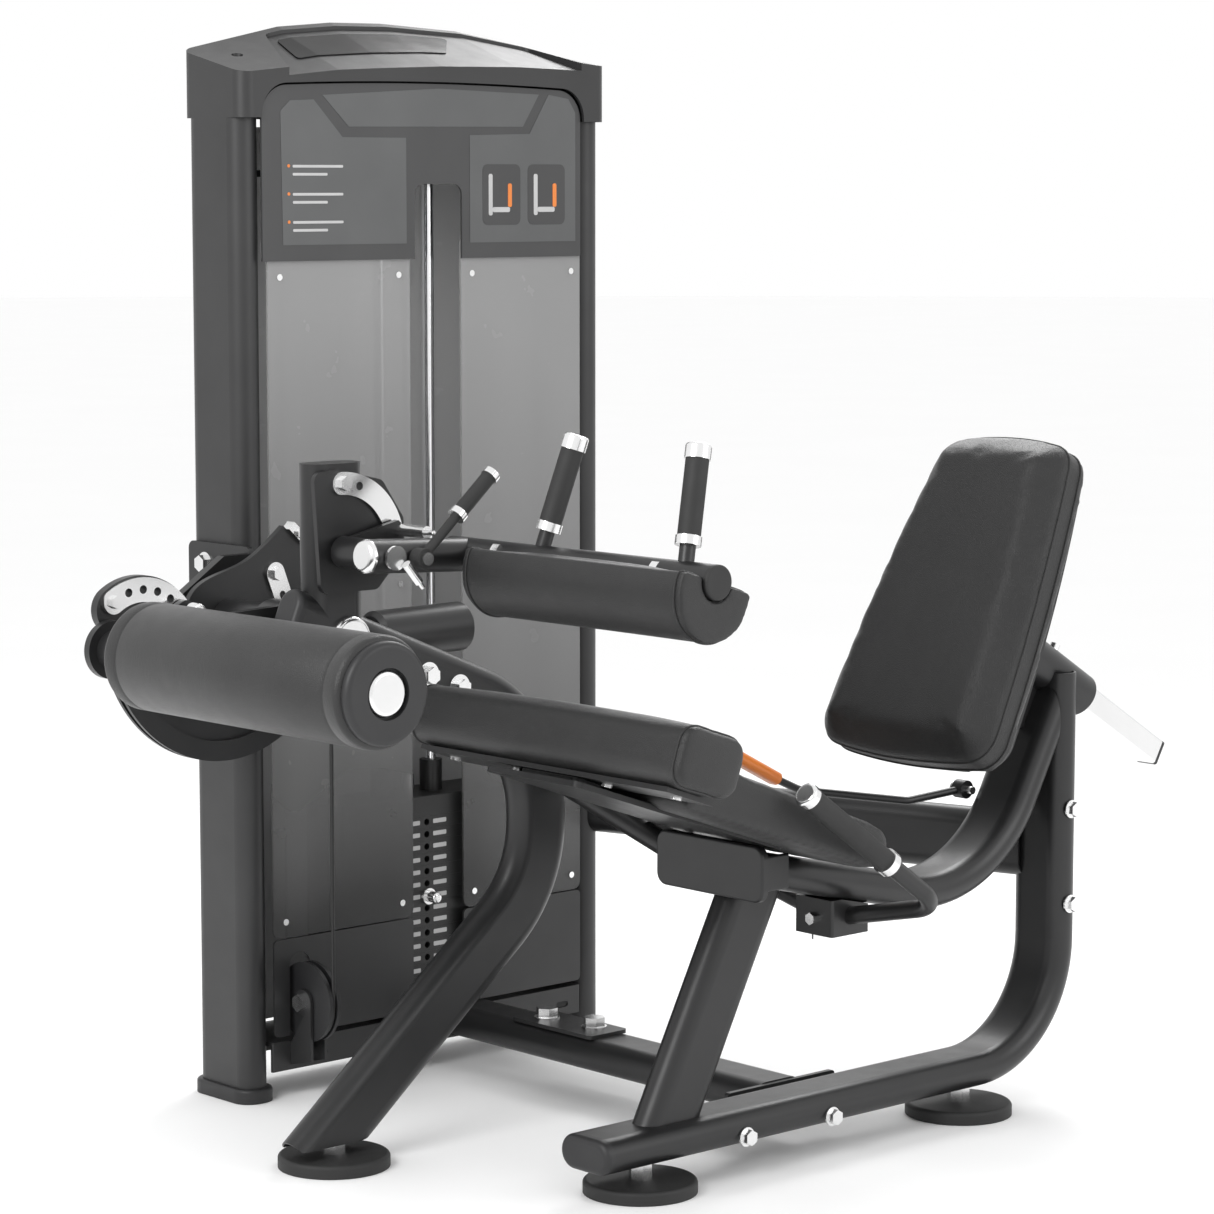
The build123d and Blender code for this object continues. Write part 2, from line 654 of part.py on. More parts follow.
with BuildPart() as selector_pin:
    disc(Plane(origin=(STACK_X, STACK_Y + 12, pin_z), z_dir=(0, -1, 0)), 4.9, 62.5)
    disc(Plane(origin=(STACK_X, plate_y[0] - 0.5, pin_z), z_dir=(0, -1, 0)), 13, 6)
    disc(Plane(origin=(STACK_X, plate_y[0] - 6.5, pin_z), z_dir=(0, -1, 0)), 9, 22)
    fillet(selector_pin.faces().sort_by(Axis.Y)[0].edges(), 5)
save(selector_pin, "selector_pin")

# ------------------------------------------------------------------ pulleys


def sheave(centre, axis, pitch_r, width, bore):
    """A grooved wheel on its axis; the groove's floor carries the cable."""
    base = Plane(origin=Vector(*centre) - Vector(*axis).normalized() * width / 2, z_dir=axis)
    disc(base, pitch_r + 5, width, bore)
    groove = base.offset(width / 2 - CABLE_R - 0.8)
    with BuildSketch(groove) as groove_face:
        Circle(pitch_r + 6)
        Circle(pitch_r - CABLE_R - 0.1, mode=Mode.SUBTRACT)
    extrude(groove_face.sketch, amount=2 * CABLE_R + 1.6, mode=Mode.SUBTRACT)


low_sheave = (CABLE_X, CAM_Y + SHEAVE_R, SHEAVE_Z)
top_run = Vector(STACK_X - CABLE_X, STACK_Y - CABLE_REAR_Y, 0).normalized()
top_axis = Vector(top_run.Y, -top_run.X, 0)
top_first = Vector(CABLE_X, CABLE_REAR_Y, TOP_SHEAVE_Z) + top_run * TOP_SHEAVE_R
top_second = Vector(STACK_X, STACK_Y, TOP_SHEAVE_Z) - top_run * TOP_SHEAVE_R

with BuildPart() as bottom_pulley:
    sheave(low_sheave, (1, 0, 0), SHEAVE_R, 20, 8 + RUN_GAP)
save(bottom_pulley, "bottom_pulley")

with BuildPart() as bottom_pulley_bolt:
    rod_between((CABLE_X + 19, low_sheave[1], SHEAVE_Z), (CABLE_X - 16, low_sheave[1], SHEAVE_Z), 8)
    hex_bolt(Plane(origin=(CABLE_X - 16, low_sheave[1], SHEAVE_Z), z_dir=(-1, 0, 0)), 24, 10, grip=2)

with BuildPart() as bottom_pulley_bracket:
    for low_x in (CABLE_X - 16, CABLE_X + 11):
        with BuildSketch(Plane(origin=(low_x, 0, 0), x_dir=SIDE, z_dir=(1, 0, 0))) as cheek_face:
            with BuildLine():
                low_y = low_sheave[1]
                Polyline(
                    (low_y - 20, 156), (low_y - 20, 62), (tower_front, 50), (tower_front, 84), close=True
                )
            make_face()
            with Locations((low_y, SHEAVE_Z)):
                Circle(20)
        extrude(cheek_face.sketch, amount=5)
    add(bottom_pulley_bolt.part, mode=Mode.SUBTRACT)

with BuildPart() as top_pulley_rear:
    sheave(top_second, top_axis, TOP_SHEAVE_R, 16, 8 + RUN_GAP)
save(top_pulley_rear, "stack_pulley")

with BuildPart() as top_pulley_front:
    sheave(top_first, top_axis, TOP_SHEAVE_R, 16, 8 + RUN_GAP)
save(top_pulley_front, "riser_pulley")

with BuildPart() as top_pulley_brackets:
    for centre in (top_first, top_second):
        rod_between(tuple(centre - top_axis * 15), tuple(centre + top_axis * 15), 8)
        for side in (-15, 10):
            cheek = Plane(origin=centre + top_axis * side, x_dir=top_run, z_dir=top_axis)
            with BuildSketch(cheek) as hanger_face:
                up = 1 if cheek.y_dir.Z > 0 else -1
                with Locations((0, up * (CROSSHEAD_Z + 22 - TOP_SHEAVE_Z) / 2)):
                    Rectangle(36, TOP_SHEAVE_Z - CROSSHEAD_Z + 2)
            extrude(hanger_face.sketch, amount=5)

# ------------------------------------------------------------------ cable

with BuildLine() as cable_route:
    low_z = SHEAVE_Z
    Line((CABLE_X, CAM_Y, KNEE_Z - 12), (CABLE_X, CAM_Y, low_z))
    ThreePointArc(
        (CABLE_X, CAM_Y, low_z),
        (CABLE_X, low_sheave[1], low_z - SHEAVE_R),
        (CABLE_X, CABLE_REAR_Y, low_z),
    )
    Line((CABLE_X, CABLE_REAR_Y, low_z), (CABLE_X, CABLE_REAR_Y, TOP_SHEAVE_Z))
    first_top = top_first + Vector(0, 0, TOP_SHEAVE_R)
    second_top = top_second + Vector(0, 0, TOP_SHEAVE_R)
    lean = TOP_SHEAVE_R * 0.5 ** 0.5
    ThreePointArc(
        (CABLE_X, CABLE_REAR_Y, TOP_SHEAVE_Z), top_first - top_run * lean + Vector(0, 0, lean), first_top
    )
    Line(first_top, second_top)
    ThreePointArc(
        second_top, top_second + top_run * lean + Vector(0, 0, lean), (STACK_X, STACK_Y, TOP_SHEAVE_Z)
    )

with BuildPart() as cable:
    with BuildSketch(Plane(origin=(CABLE_X, CAM_Y, KNEE_Z - 12), z_dir=(0, 0, -1))) as cable_face:
        Circle(CABLE_R)
    sweep(cable_face.sketch, path=cable_route.line)
save(cable, "cable")

with BuildPart() as cable_drop:
    drop_low = head_z + HEAD_THICK + 30
    disc(Plane(origin=(STACK_X, STACK_Y, drop_low)), CABLE_R, TOP_SHEAVE_Z - drop_low)
save(cable_drop, "cable_drop")

# ------------------------------------------------------------------ lever

lever_axis_start = (KNEE_X, HUB_Y[0], KNEE_Z)
BEARING_R = 31
BEARING_WIDE = 14

with BuildPart() as lever_hub:
    disc(Plane(origin=lever_axis_start, z_dir=(0, 1, 0)), HUB_R, HUB_Y[1] - HUB_Y[0], 26)
    for y in (HUB_Y[0], HUB_Y[1] - BEARING_WIDE):
        with BuildSketch(Plane(origin=(KNEE_X, y, KNEE_Z), z_dir=(0, 1, 0))) as seat_face:
            Circle(BEARING_R)
        extrude(seat_face.sketch, amount=BEARING_WIDE, mode=Mode.SUBTRACT)
save(lever_hub, "lever_hub")

with BuildPart() as knee_bearings:
    for y in (HUB_Y[0], HUB_Y[1] - BEARING_WIDE):
        disc(Plane(origin=(KNEE_X, y, KNEE_Z), z_dir=(0, 1, 0)), BEARING_R, BEARING_WIDE, AXLE_R + RUN_GAP)
save(knee_bearings, "knee_bearings")

ARM_Y = (139, 153)
INDEX_Y = (133, 139)
CRANK_Y = (119, 131)
INDEX_HOLE_R = 80
INDEX_ANGLES = [105.3 - 17.4 * step for step in range(5)]
INDEX_SPAN = (22, 124)
pin_spot = on_circle((PIVOT_X, PIVOT_Z), INDEX_HOLE_R, INDEX_ANGLES[-1])

with BuildPart() as crank_bolt:
    crank_face_plane = Plane(origin=(PIVOT_X, CRANK_Y[0], PIVOT_Z), z_dir=(0, -1, 0))
    hex_bolt(crank_face_plane, 26, 10, grip=ARM_Y[1] - CRANK_Y[0])
BOLT_SHANK_R = 26 * 0.31

with BuildPart() as lever_arm:
    with BuildSketch(xz(ARM_Y[1])) as arm_face:
        with BuildLine():
            Polyline((KNEE_X, 810), (PIVOT_X, 797), (PIVOT_X, 741), (KNEE_X, 712), close=True)
        make_face()
        with Locations((KNEE_X, KNEE_Z)):
            Circle(50)
        with Locations((PIVOT_X, PIVOT_Z)):
            Circle(32)
        with Locations((KNEE_X, KNEE_Z)):
            Circle(HUB_R, mode=Mode.SUBTRACT)
    extrude(arm_face.sketch, amount=ARM_Y[1] - ARM_Y[0])
    with BuildSketch(xz(ARM_Y[1])) as index_backing:
        arc_band((PIVOT_X, PIVOT_Z), 66, 66, *INDEX_SPAN)
    extrude(index_backing.sketch, amount=ARM_Y[1] - ARM_Y[0])
    add(crank_bolt.part, mode=Mode.SUBTRACT)


with BuildPart() as roller_index_plate:
    with BuildSketch(xz(INDEX_Y[1])) as index_face:
        arc_band((PIVOT_X, PIVOT_Z), INDEX_HOLE_R, 34, *INDEX_SPAN)
        for angle in INDEX_ANGLES:
            with Locations(on_circle((PIVOT_X, PIVOT_Z), INDEX_HOLE_R, angle)):
                Circle(6, mode=Mode.SUBTRACT)
    extrude(index_face.sketch, amount=INDEX_Y[1] - INDEX_Y[0])

with BuildPart() as cam:
    cam_plane = Plane(origin=(KNEE_X, CAM_Y - 10, KNEE_Z), z_dir=(0, 1, 0))
    disc(cam_plane, CAM_PITCH_R + 4, 20, HUB_R)
    with BuildSketch(cam_plane.offset(10 - CABLE_R - 0.8)) as cam_groove:
        Circle(CAM_PITCH_R + 6)
        Circle(CAM_PITCH_R - CABLE_R - 0.1, mode=Mode.SUBTRACT)
    extrude(cam_groove.sketch, amount=2 * CABLE_R + 1.6, mode=Mode.SUBTRACT)
    with BuildSketch(cam_plane) as cam_dish:
        Circle(CAM_PITCH_R - 26)
        Circle(62, mode=Mode.SUBTRACT)
    extrude(cam_dish.sketch, amount=7, mode=Mode.SUBTRACT)
    with BuildSketch(xz(CAM_Y + 10)) as cam_upper_cut:
        with BuildLine():
            Polyline((-700, KNEE_Z + 12), (-500, KNEE_Z + 12), (-420, KNEE_Z + 60), (-330, 812),
                     (-200, 812), (-200, 1000), (-700, 1000), close=True)
        make_face()
        with Locations((KNEE_X, KNEE_Z)):
            Circle(62, mode=Mode.SUBTRACT)
    extrude(cam_upper_cut.sketch, amount=20, mode=Mode.SUBTRACT)
save(cam, "cam")

with BuildPart() as cable_clamp:
    with BuildSketch(xz(CAM_Y + 3)) as clamp_face:
        arc_band((KNEE_X, KNEE_Z), CAM_PITCH_R, 2 * CABLE_R, 1, 13)
    extrude(clamp_face.sketch, amount=6)

PLATE_Y = 345
STOP_EDGE = ((-345, 897), (-308, 862))

with BuildPart() as cam_upper_plate:
    with BuildSketch(xz(PLATE_Y + 10)) as upper_face:
        with BuildLine():
            upper_edge = Spline(
                (-523, 775), (-505, 815), (-462, 834), (-416, 848), (-370, 877), STOP_EDGE[0]
            )
            Polyline(upper_edge @ 1, STOP_EDGE[1], (-300, 775), (-330, 700), (-500, 700), upper_edge @ 0)
        make_face()
        with Locations((KNEE_X, KNEE_Z)):
            Circle(HUB_R, mode=Mode.SUBTRACT)
    extrude(upper_face.sketch, amount=10)

CAM_INDEX_TURN = -69

with BuildPart() as cam_index_plate:
    with BuildSketch(xz(PLATE_Y)) as cam_index_face:
        with Locations((-356, 807)):
            SlotCenterToCenter(46, 32, rotation=CAM_INDEX_TURN)
        with Locations((-351, 793)):
            SlotOverall(17, 11, rotation=CAM_INDEX_TURN, mode=Mode.SUBTRACT)
    extrude(cam_index_face.sketch, amount=6)

stop_along = (Vector(*STOP_EDGE[1]) - Vector(*STOP_EDGE[0])).normalized()
stop_middle = (Vector(*STOP_EDGE[0]) + Vector(*STOP_EDGE[1])) / 2 + Vector(-stop_along.Y, stop_along.X) * 7

with BuildPart() as cam_bolts:
    hex_bolt(Plane(origin=(-364, PLATE_Y - 6, 828), z_dir=(0, -1, 0)), 18, 9, grip=0)
    hex_bolt(Plane(origin=(stop_middle.X, PLATE_Y - 8, stop_middle.Y), z_dir=(0, -1, 0)), 12, 6, grip=0)
    index_bolt_spot = on_circle((PIVOT_X, PIVOT_Z), INDEX_HOLE_R, INDEX_SPAN[1])
    index_bolt_plane = Plane(origin=(index_bolt_spot[0], INDEX_Y[0], index_bolt_spot[1]), z_dir=(0, -1, 0))
    hex_bolt(index_bolt_plane, 16, 7, grip=0)

with BuildPart() as lever_stop:
    with BuildSketch(xz(PLATE_Y + 10)) as stop_face:
        with Locations((stop_middle.X, stop_middle.Y)):
            Rectangle(36, 14, rotation=degrees(atan2(stop_along.Y, stop_along.X)))
    extrude(stop_face.sketch, amount=18)

WEIGHT_Y = 220
weight_near = Vector(-281, WEIGHT_Y, 738)
weight_far = Vector(-110, WEIGHT_Y, 740)

with BuildPart() as counterweight:
    rod_between(tuple(weight_near), tuple(weight_far), 37)
    chamfer(counterweight.edges().sort_by(Axis.X)[0], 7)
    fillet(counterweight.edges().sort_by(Axis.X)[-1], 3)
save(counterweight, "counterweight")

with BuildPart() as counterweight_arm:
    rod_between((KNEE_X, WEIGHT_Y, KNEE_Z), tuple(weight_near), 15)
    disc(Plane(origin=(KNEE_X, WEIGHT_Y - 20, KNEE_Z), z_dir=(0, 1, 0)), 44, 40)
    with BuildSketch(Plane(origin=(KNEE_X, WEIGHT_Y - 60, KNEE_Z), z_dir=(0, 1, 0))) as hub_cut:
        Circle(HUB_R)
    extrude(hub_cut.sketch, amount=120, mode=Mode.SUBTRACT)
    add(counterweight.part, mode=Mode.SUBTRACT)

# ------------------------------------------------------------------ roller

with BuildPart() as roller_crank:
    for spot, radius in (((ROLLER_X, ROLLER_Z), 40), (pin_spot, 15)):
        with BuildSketch(xz(CRANK_Y[1])) as crank_face:
            with Locations(spot):
                Circle(radius)
            with Locations((PIVOT_X, PIVOT_Z)):
                Circle(26)
            make_hull()
        extrude(crank_face.sketch, amount=CRANK_Y[1] - CRANK_Y[0])
    with BuildSketch(xz(CRANK_Y[1])) as crank_bores:
        with Locations((PIVOT_X, PIVOT_Z)):
            Circle(BOLT_SHANK_R + RUN_GAP)
        with Locations(pin_spot):
            Circle(5.55)
    extrude(crank_bores.sketch, amount=CRANK_Y[1] - CRANK_Y[0], mode=Mode.SUBTRACT)

with BuildPart() as roller_shaft:
    shaft_plane = Plane(origin=(ROLLER_X, CRANK_Y[0], ROLLER_Z), z_dir=(0, -1, 0))
    disc(shaft_plane, SHAFT_R, CRANK_Y[0] - ROLLER_Y[0] - 12, 22)

with BuildPart() as roller_pin:
    disc(Plane(origin=(pin_spot[0], INDEX_Y[0] - 0.5, pin_spot[1]), z_dir=(0, -1, 0)), 5.5, 28)
    disc(Plane(origin=(pin_spot[0], CRANK_Y[0] - 14, pin_spot[1]), z_dir=(0, -1, 0)), 13, 16)
    fillet(roller_pin.faces().sort_by(Axis.Y)[0].edges(), 4)
save(roller_pin, "roller_pin")

with BuildPart() as roller_sleeve:
    disc(
        Plane(origin=(ROLLER_X, ROLLER_Y[1], ROLLER_Z), z_dir=(0, -1, 0)),
        SHAFT_R + 4, ROLLER_Y[1] - ROLLER_Y[0], SHAFT_R + RUN_GAP,
    )

with BuildPart() as roller_pad:
    disc(
        Plane(origin=(ROLLER_X, ROLLER_Y[1], ROLLER_Z), z_dir=(0, -1, 0)),
        ROLLER_R, ROLLER_Y[1] - ROLLER_Y[0], SHAFT_R + 4,
    )
    fillet(roller_pad.edges().filter_by(GeomType.CIRCLE).group_by(SortBy.RADIUS)[-1], 8)
save(roller_pad, "roller_pad")

with BuildPart() as roller_end_disc:
    disc(Plane(origin=(ROLLER_X, ROLLER_Y[0], ROLLER_Z), z_dir=(0, -1, 0)), 66, 12)
    fillet(roller_end_disc.faces().sort_by(Axis.Y)[0].edges(), 8)
    with BuildSketch(xz(ROLLER_Y[0] - 12)) as cap_recess:
        with Locations((ROLLER_X, ROLLER_Z)):
            Circle(33)
    extrude(cap_recess.sketch, amount=-8, mode=Mode.SUBTRACT)

with BuildPart() as roller_cap:
    disc(Plane(origin=(ROLLER_X, ROLLER_Y[0] - 4, ROLLER_Z), z_dir=(0, -1, 0)), 30, 7)
    fillet(roller_cap.faces().sort_by(Axis.Y)[0].edges(), 6)
save(roller_cap, "roller_cap")

# ------------------------------------------------------------------ thigh pad

with BuildPart() as thigh_pivot_pin:
    disc(Plane(origin=(THIGH_HUB_X, 63, THIGH_HUB_Z), z_dir=(0, -1, 0)), 12.5, 129)
    disc(Plane(origin=(THIGH_HUB_X, -66, THIGH_HUB_Z), z_dir=(0, -1, 0)), 17, 5)

SECTOR_ANGLES = (71, 16)
hub_spot = (THIGH_HUB_X, THIGH_HUB_Z)

with BuildPart() as thigh_bracket_plate:
    with BuildSketch(xz(63)) as thigh_bracket_face:
        with BuildLine():
            Polyline((-512, 1000), (-470, 1004), (-390, 985), (-352, 930), (-350, 880), (-400, 830),
                     (-500, 830), close=True)
        make_face()
        fillet(thigh_bracket_face.vertices(), 14)
    extrude(thigh_bracket_face.sketch, amount=8)
    add(thigh_pivot_pin.part, mode=Mode.SUBTRACT)

with BuildPart() as thigh_index_sector:
    with BuildSketch(xz(55)) as sector_face:
        arc_band(hub_spot, SECTOR_HOLE_R, 32, 16, 90)
        for angle in SECTOR_ANGLES:
            with Locations(on_circle(hub_spot, SECTOR_HOLE_R, angle)):
                Circle(6, mode=Mode.SUBTRACT)
    extrude(sector_face.sketch, amount=5)
save(thigh_index_sector, "thigh_index_sector")

with BuildPart() as sector_bolt:
    hex_bolt(Plane(origin=(-463, 50, 984), z_dir=(0, -1, 0)), 18, 8, grip=0)

with BuildPart() as thigh_arm:
    rod_between((-494, THIGH_ARM_Y, 890), (THIGH_TUBE_X - 2, THIGH_ARM_Y, THIGH_TUBE_Z), THIGH_TUBE_R)
    rod_between((THIGH_HUB_X, -20, THIGH_HUB_Z), (THIGH_HUB_X, 48, THIGH_HUB_Z), 22.5)
    with BuildSketch(xz(46)) as plunger_arm_face:
        with BuildLine():
            Polyline((THIGH_HUB_X, THIGH_HUB_Z - 20), (-372, 900), (-360, 914), (-376, 928),
                     (THIGH_HUB_X, THIGH_HUB_Z + 20), close=True)
        make_face()
    extrude(plunger_arm_face.sketch, amount=10)
    hub_ends = ((THIGH_HUB_X, -70, THIGH_HUB_Z), (THIGH_HUB_X, 60, THIGH_HUB_Z))
    rod_between(*hub_ends, 12.5 + RUN_GAP, mode=Mode.SUBTRACT)
    with BuildSketch(xz(60)) as plunger_hole:
        with Locations(on_circle(hub_spot, SECTOR_HOLE_R, SECTOR_ANGLES[-1])):
            Circle(5.5 + RUN_GAP)
    extrude(plunger_hole.sketch, amount=40, mode=Mode.SUBTRACT)

with BuildPart() as thigh_arm_cap:
    arm_along = (Vector(THIGH_TUBE_X - 2, 0, THIGH_TUBE_Z) - Vector(-494, 0, 890)).normalized()
    disc(Plane(origin=(-494, THIGH_ARM_Y, 890), z_dir=arm_along * -1), THIGH_TUBE_R, 10)
    fillet(thigh_arm_cap.faces().sort_by(Axis.X)[0].edges(), 8)

THIGH_TUBE_Y = (-543, -12)

with BuildPart() as thigh_tube:
    tube_end = (THIGH_TUBE_X, THIGH_TUBE_Y[0], THIGH_TUBE_Z)
    rod_between(tube_end, (THIGH_TUBE_X, THIGH_TUBE_Y[1], THIGH_TUBE_Z), THIGH_TUBE_R, THIGH_TUBE_R - 3)
    add(thigh_arm.part, mode=Mode.SUBTRACT)

with BuildPart() as thigh_tube_caps:
    disc(Plane(origin=tube_end, z_dir=(0, -1, 0)), THIGH_TUBE_R, 8)
    disc(Plane(origin=(THIGH_TUBE_X, THIGH_TUBE_Y[1], THIGH_TUBE_Z), z_dir=(0, 1, 0)), THIGH_TUBE_R, 6)
    fillet(thigh_tube_caps.faces().sort_by(Axis.Y)[0].edges(), 4)

# The pad hangs under its tube, turned so that its rear edge is the lower one
THIGH_PAD_TILT = 18
THIGH_PAD_Y = (-551, -103)
THIGH_BORE = ((THIGH_TUBE_X, -600, THIGH_TUBE_Z), (THIGH_TUBE_X, 0, THIGH_TUBE_Z))
pad_x = Vector(cos(radians(THIGH_PAD_TILT)), 0, -sin(radians(THIGH_PAD_TILT)))
pad_plane = Plane(origin=(THIGH_TUBE_X, THIGH_PAD_Y[0], THIGH_TUBE_Z), x_dir=pad_x, z_dir=(0, 1, 0))

with BuildPart() as thigh_pad:
    with BuildSketch(pad_plane) as thigh_pad_face:
        with BuildLine():
            Line((-67, -4), (67, -4))
            Line((67, -4), (67, 18))
            ThreePointArc((67, 18), (0, 82), (-67, 18))
            Line((-67, 18), (-67, -4))
        make_face()
        fillet(thigh_pad_face.vertices().group_by(Axis.Y)[0], 8)
    extrude(thigh_pad_face.sketch, amount=THIGH_PAD_Y[1] - THIGH_PAD_Y[0])
    rod_between(*THIGH_BORE, THIGH_TUBE_R + 0.3, mode=Mode.SUBTRACT)
save(thigh_pad, "thigh_pad")

with BuildPart() as thigh_clips:
    for y in (-452, -128):
        with BuildSketch(xz(y + 14)) as clip_face:
            arc_band((THIGH_TUBE_X, THIGH_TUBE_Z), THIGH_TUBE_R + 1.5, 3, 128, 156)
            with Locations((THIGH_TUBE_X, THIGH_TUBE_Z)):
                Circle(THIGH_TUBE_R, mode=Mode.SUBTRACT)
        extrude(clip_face.sketch, amount=14)
    add(thigh_pad.part, mode=Mode.SUBTRACT)

HANDLE_TOP_Z = 1056
CAP_TALL = 20
HANDLES = ((-190, -1), (-483, 1))


def handle_line(y, side, z):
    """The point at one height on a thigh handle's centre line."""
    rise = z - THIGH_TUBE_Z
    return Vector(THIGH_TUBE_X + rise * tan(radians(16)), y + side * rise * tan(radians(8)), z)


def handle_piece(low, high, radius, bore=0, mode=Mode.ADD):
    """The same length of both thigh handles, between two heights."""
    for y, side in HANDLES:
        rod_between(tuple(handle_line(y, side, low)), tuple(handle_line(y, side, high)), radius, bore, mode)


with BuildPart() as thigh_handle_rods:
    handle_piece(THIGH_TUBE_Z, HANDLE_TOP_Z - CAP_TALL, 11)
    add(thigh_tube.part, mode=Mode.SUBTRACT)
    rod_between(*THIGH_BORE, THIGH_TUBE_R, mode=Mode.SUBTRACT)

with BuildPart() as thigh_collars:
    handle_piece(924, 936, 18, 11)

with BuildPart() as thigh_grips:
    handle_piece(936, HANDLE_TOP_Z - CAP_TALL, 16, 11)

with BuildPart() as thigh_handle_caps:
    handle_piece(HANDLE_TOP_Z - CAP_TALL, HANDLE_TOP_Z, 18)
    fillet(thigh_handle_caps.faces().group_by(Axis.Z)[-1].edges(), 4)

plunger_spot = on_circle(hub_spot, SECTOR_HOLE_R, SECTOR_ANGLES[-1])

with BuildPart() as thigh_plunger:
    disc(Plane(origin=(plunger_spot[0], 49.5, plunger_spot[1]), z_dir=(0, -1, 0)), 5.5, 74)
    disc(Plane(origin=(plunger_spot[0], -24.5, plunger_spot[1]), z_dir=(0, -1, 0)), 3.5, 16)
    fillet(thigh_plunger.faces().sort_by(Axis.Y)[0].edges(), 2)
save(thigh_plunger, "thigh_plunger")

with BuildPart() as plunger_barrel:
    disc(Plane(origin=(plunger_spot[0], 36, plunger_spot[1]), z_dir=(0, -1, 0)), 9, 60, 5.5 + RUN_GAP)

with BuildPart() as thigh_latch:
    rod_between((-456, -78, 880), (-433, -78, 853), 6.5)
    rod_between((-433, -78, 853), (-426, -78, 845), 3.5)

LEVER_Y = -78
LEVER_PIVOT = (-428, 886)

with BuildPart() as release_lever_pin:
    disc(Plane(origin=(LEVER_PIVOT[0], -63, LEVER_PIVOT[1]), z_dir=(0, -1, 0)), 5, 26)
    disc(Plane(origin=(LEVER_PIVOT[0], -89, LEVER_PIVOT[1]), z_dir=(0, -1, 0)), 9, 4)
    add(thigh_arm.part, mode=Mode.SUBTRACT)

lever_from = Vector(LEVER_PIVOT[0], LEVER_Y, LEVER_PIVOT[1])
lever_to = Vector(-306, LEVER_Y, 992)
lever_dir = (lever_to - lever_from).normalized()

with BuildPart() as release_lever:
    rod_between(tuple(lever_from), tuple(lever_to), 7)
    disc(Plane(origin=(LEVER_PIVOT[0], LEVER_Y + 10, LEVER_PIVOT[1]), z_dir=(0, -1, 0)), 14, 20)
    lever_bore = ((LEVER_PIVOT[0], 0, LEVER_PIVOT[1]), (LEVER_PIVOT[0], -100, LEVER_PIVOT[1]))
    rod_between(*lever_bore, 5 + RUN_GAP, mode=Mode.SUBTRACT)

with BuildPart() as release_lever_grip:
    rod_between(tuple(lever_from + lever_dir * 92), tuple(lever_to), 11, 7)

with BuildPart() as release_lever_trim:
    rod_between(tuple(lever_from + lever_dir * 82), tuple(lever_from + lever_dir * 92), 13, 7)
    rod_between(tuple(lever_to), tuple(lever_to + lever_dir * 9), 13)

# ------------------------------------------------------------------ seat

fall = Vector(cos(radians(SEAT_FALL)), 0, -sin(radians(SEAT_FALL)))
seat_up = Vector(sin(radians(SEAT_FALL)), 0, cos(radians(SEAT_FALL)))
SEAT_FRONT = Vector(-312, SEAT_Y, 573)
SEAT_HALF = 175

with BuildPart() as seat_pad:
    seat_side = Plane(origin=SEAT_FRONT + SIDE * SEAT_HALF, x_dir=fall, z_dir=(0, -1, 0))
    with BuildSketch(seat_side) as seat_face:
        with BuildLine():
            Polyline(
                (2, 0), (410, 0), (418, 40), (400, 58), (120, 66), (60, 74), (24, 88), (8, 78), close=True
            )
        make_face()
        fillet(seat_face.vertices(), 9)
    extrude(seat_face.sketch, amount=2 * SEAT_HALF)
    side_edges = seat_pad.edges().filter_by(GeomType.LINE)
    fillet(side_edges.filter_by(lambda edge: abs((edge % 0.5).dot(SIDE)) < 0.01), 6)
save(seat_pad, "seat_pad")

with BuildPart() as seat_pan:
    with BuildSketch(Plane(origin=SEAT_FRONT - fall * 125, x_dir=fall, z_dir=seat_up)) as pan_face:
        with Locations((206, 0)):
            RectangleRounded(412, 190, 12)
    extrude(pan_face.sketch, amount=-8)
    add(seat_rail.part, mode=Mode.SUBTRACT)

BOLSTER = Vector(-357, SEAT_Y, 651)
BOLSTER_HALF = 281
BOLSTER_WIDE = 122
BOLSTER_THICK = 88
bolster_side = Plane(origin=BOLSTER + SIDE * BOLSTER_HALF, x_dir=fall, z_dir=(0, -1, 0))

with BuildPart() as bolster_pad:
    with BuildSketch(bolster_side) as bolster_face:
        RectangleRounded(BOLSTER_WIDE, BOLSTER_THICK, 26)
    extrude(bolster_face.sketch, amount=2 * BOLSTER_HALF)
    bolster_ends = bolster_pad.faces().group_by(Axis.Y)
    fillet(bolster_ends[0].edges() + bolster_ends[-1].edges(), 12)
save(bolster_pad, "bolster_pad")

with BuildPart() as bolster_plate:
    with BuildSketch(bolster_side.offset(30)) as bolster_plate_face:
        with Locations((0, -BOLSTER_THICK / 2 - 4)):
            Rectangle(BOLSTER_WIDE - 34, 7)
    extrude(bolster_plate_face.sketch, amount=2 * BOLSTER_HALF - 60)

with BuildPart() as bolster_block:
    with BuildSketch(Plane(origin=SEAT_FRONT - fall * 68, x_dir=fall, z_dir=seat_up)) as block_face:
        RectangleRounded(56, 110, 6)
    extrude(block_face.sketch, until=Until.NEXT, target=bolster_plate.part)

with BuildPart() as bolster_screws:
    for y in (SEAT_Y - 225, SEAT_Y + 225, SEAT_Y - 90, SEAT_Y + 90):
        spot = BOLSTER - seat_up * (BOLSTER_THICK / 2 + 7.5) + Vector(0, y - SEAT_Y, 0)
        disc(Plane(origin=spot, z_dir=seat_up * -1), 8, 4)

# ------------------------------------------------------------------ side handles

HANDLE_Y = 206
GRIP_R = 16
HANDLE_R = 13

with BuildLine() as handle_route:
    FilletPolyline(
        (-104, SEAT_Y - HANDLE_Y, 568), (158, SEAT_Y - HANDLE_Y, 383), (150, SEAT_Y, 338),
        (158, SEAT_Y + HANDLE_Y, 383), (-104, SEAT_Y + HANDLE_Y, 568), radius=48,
    )

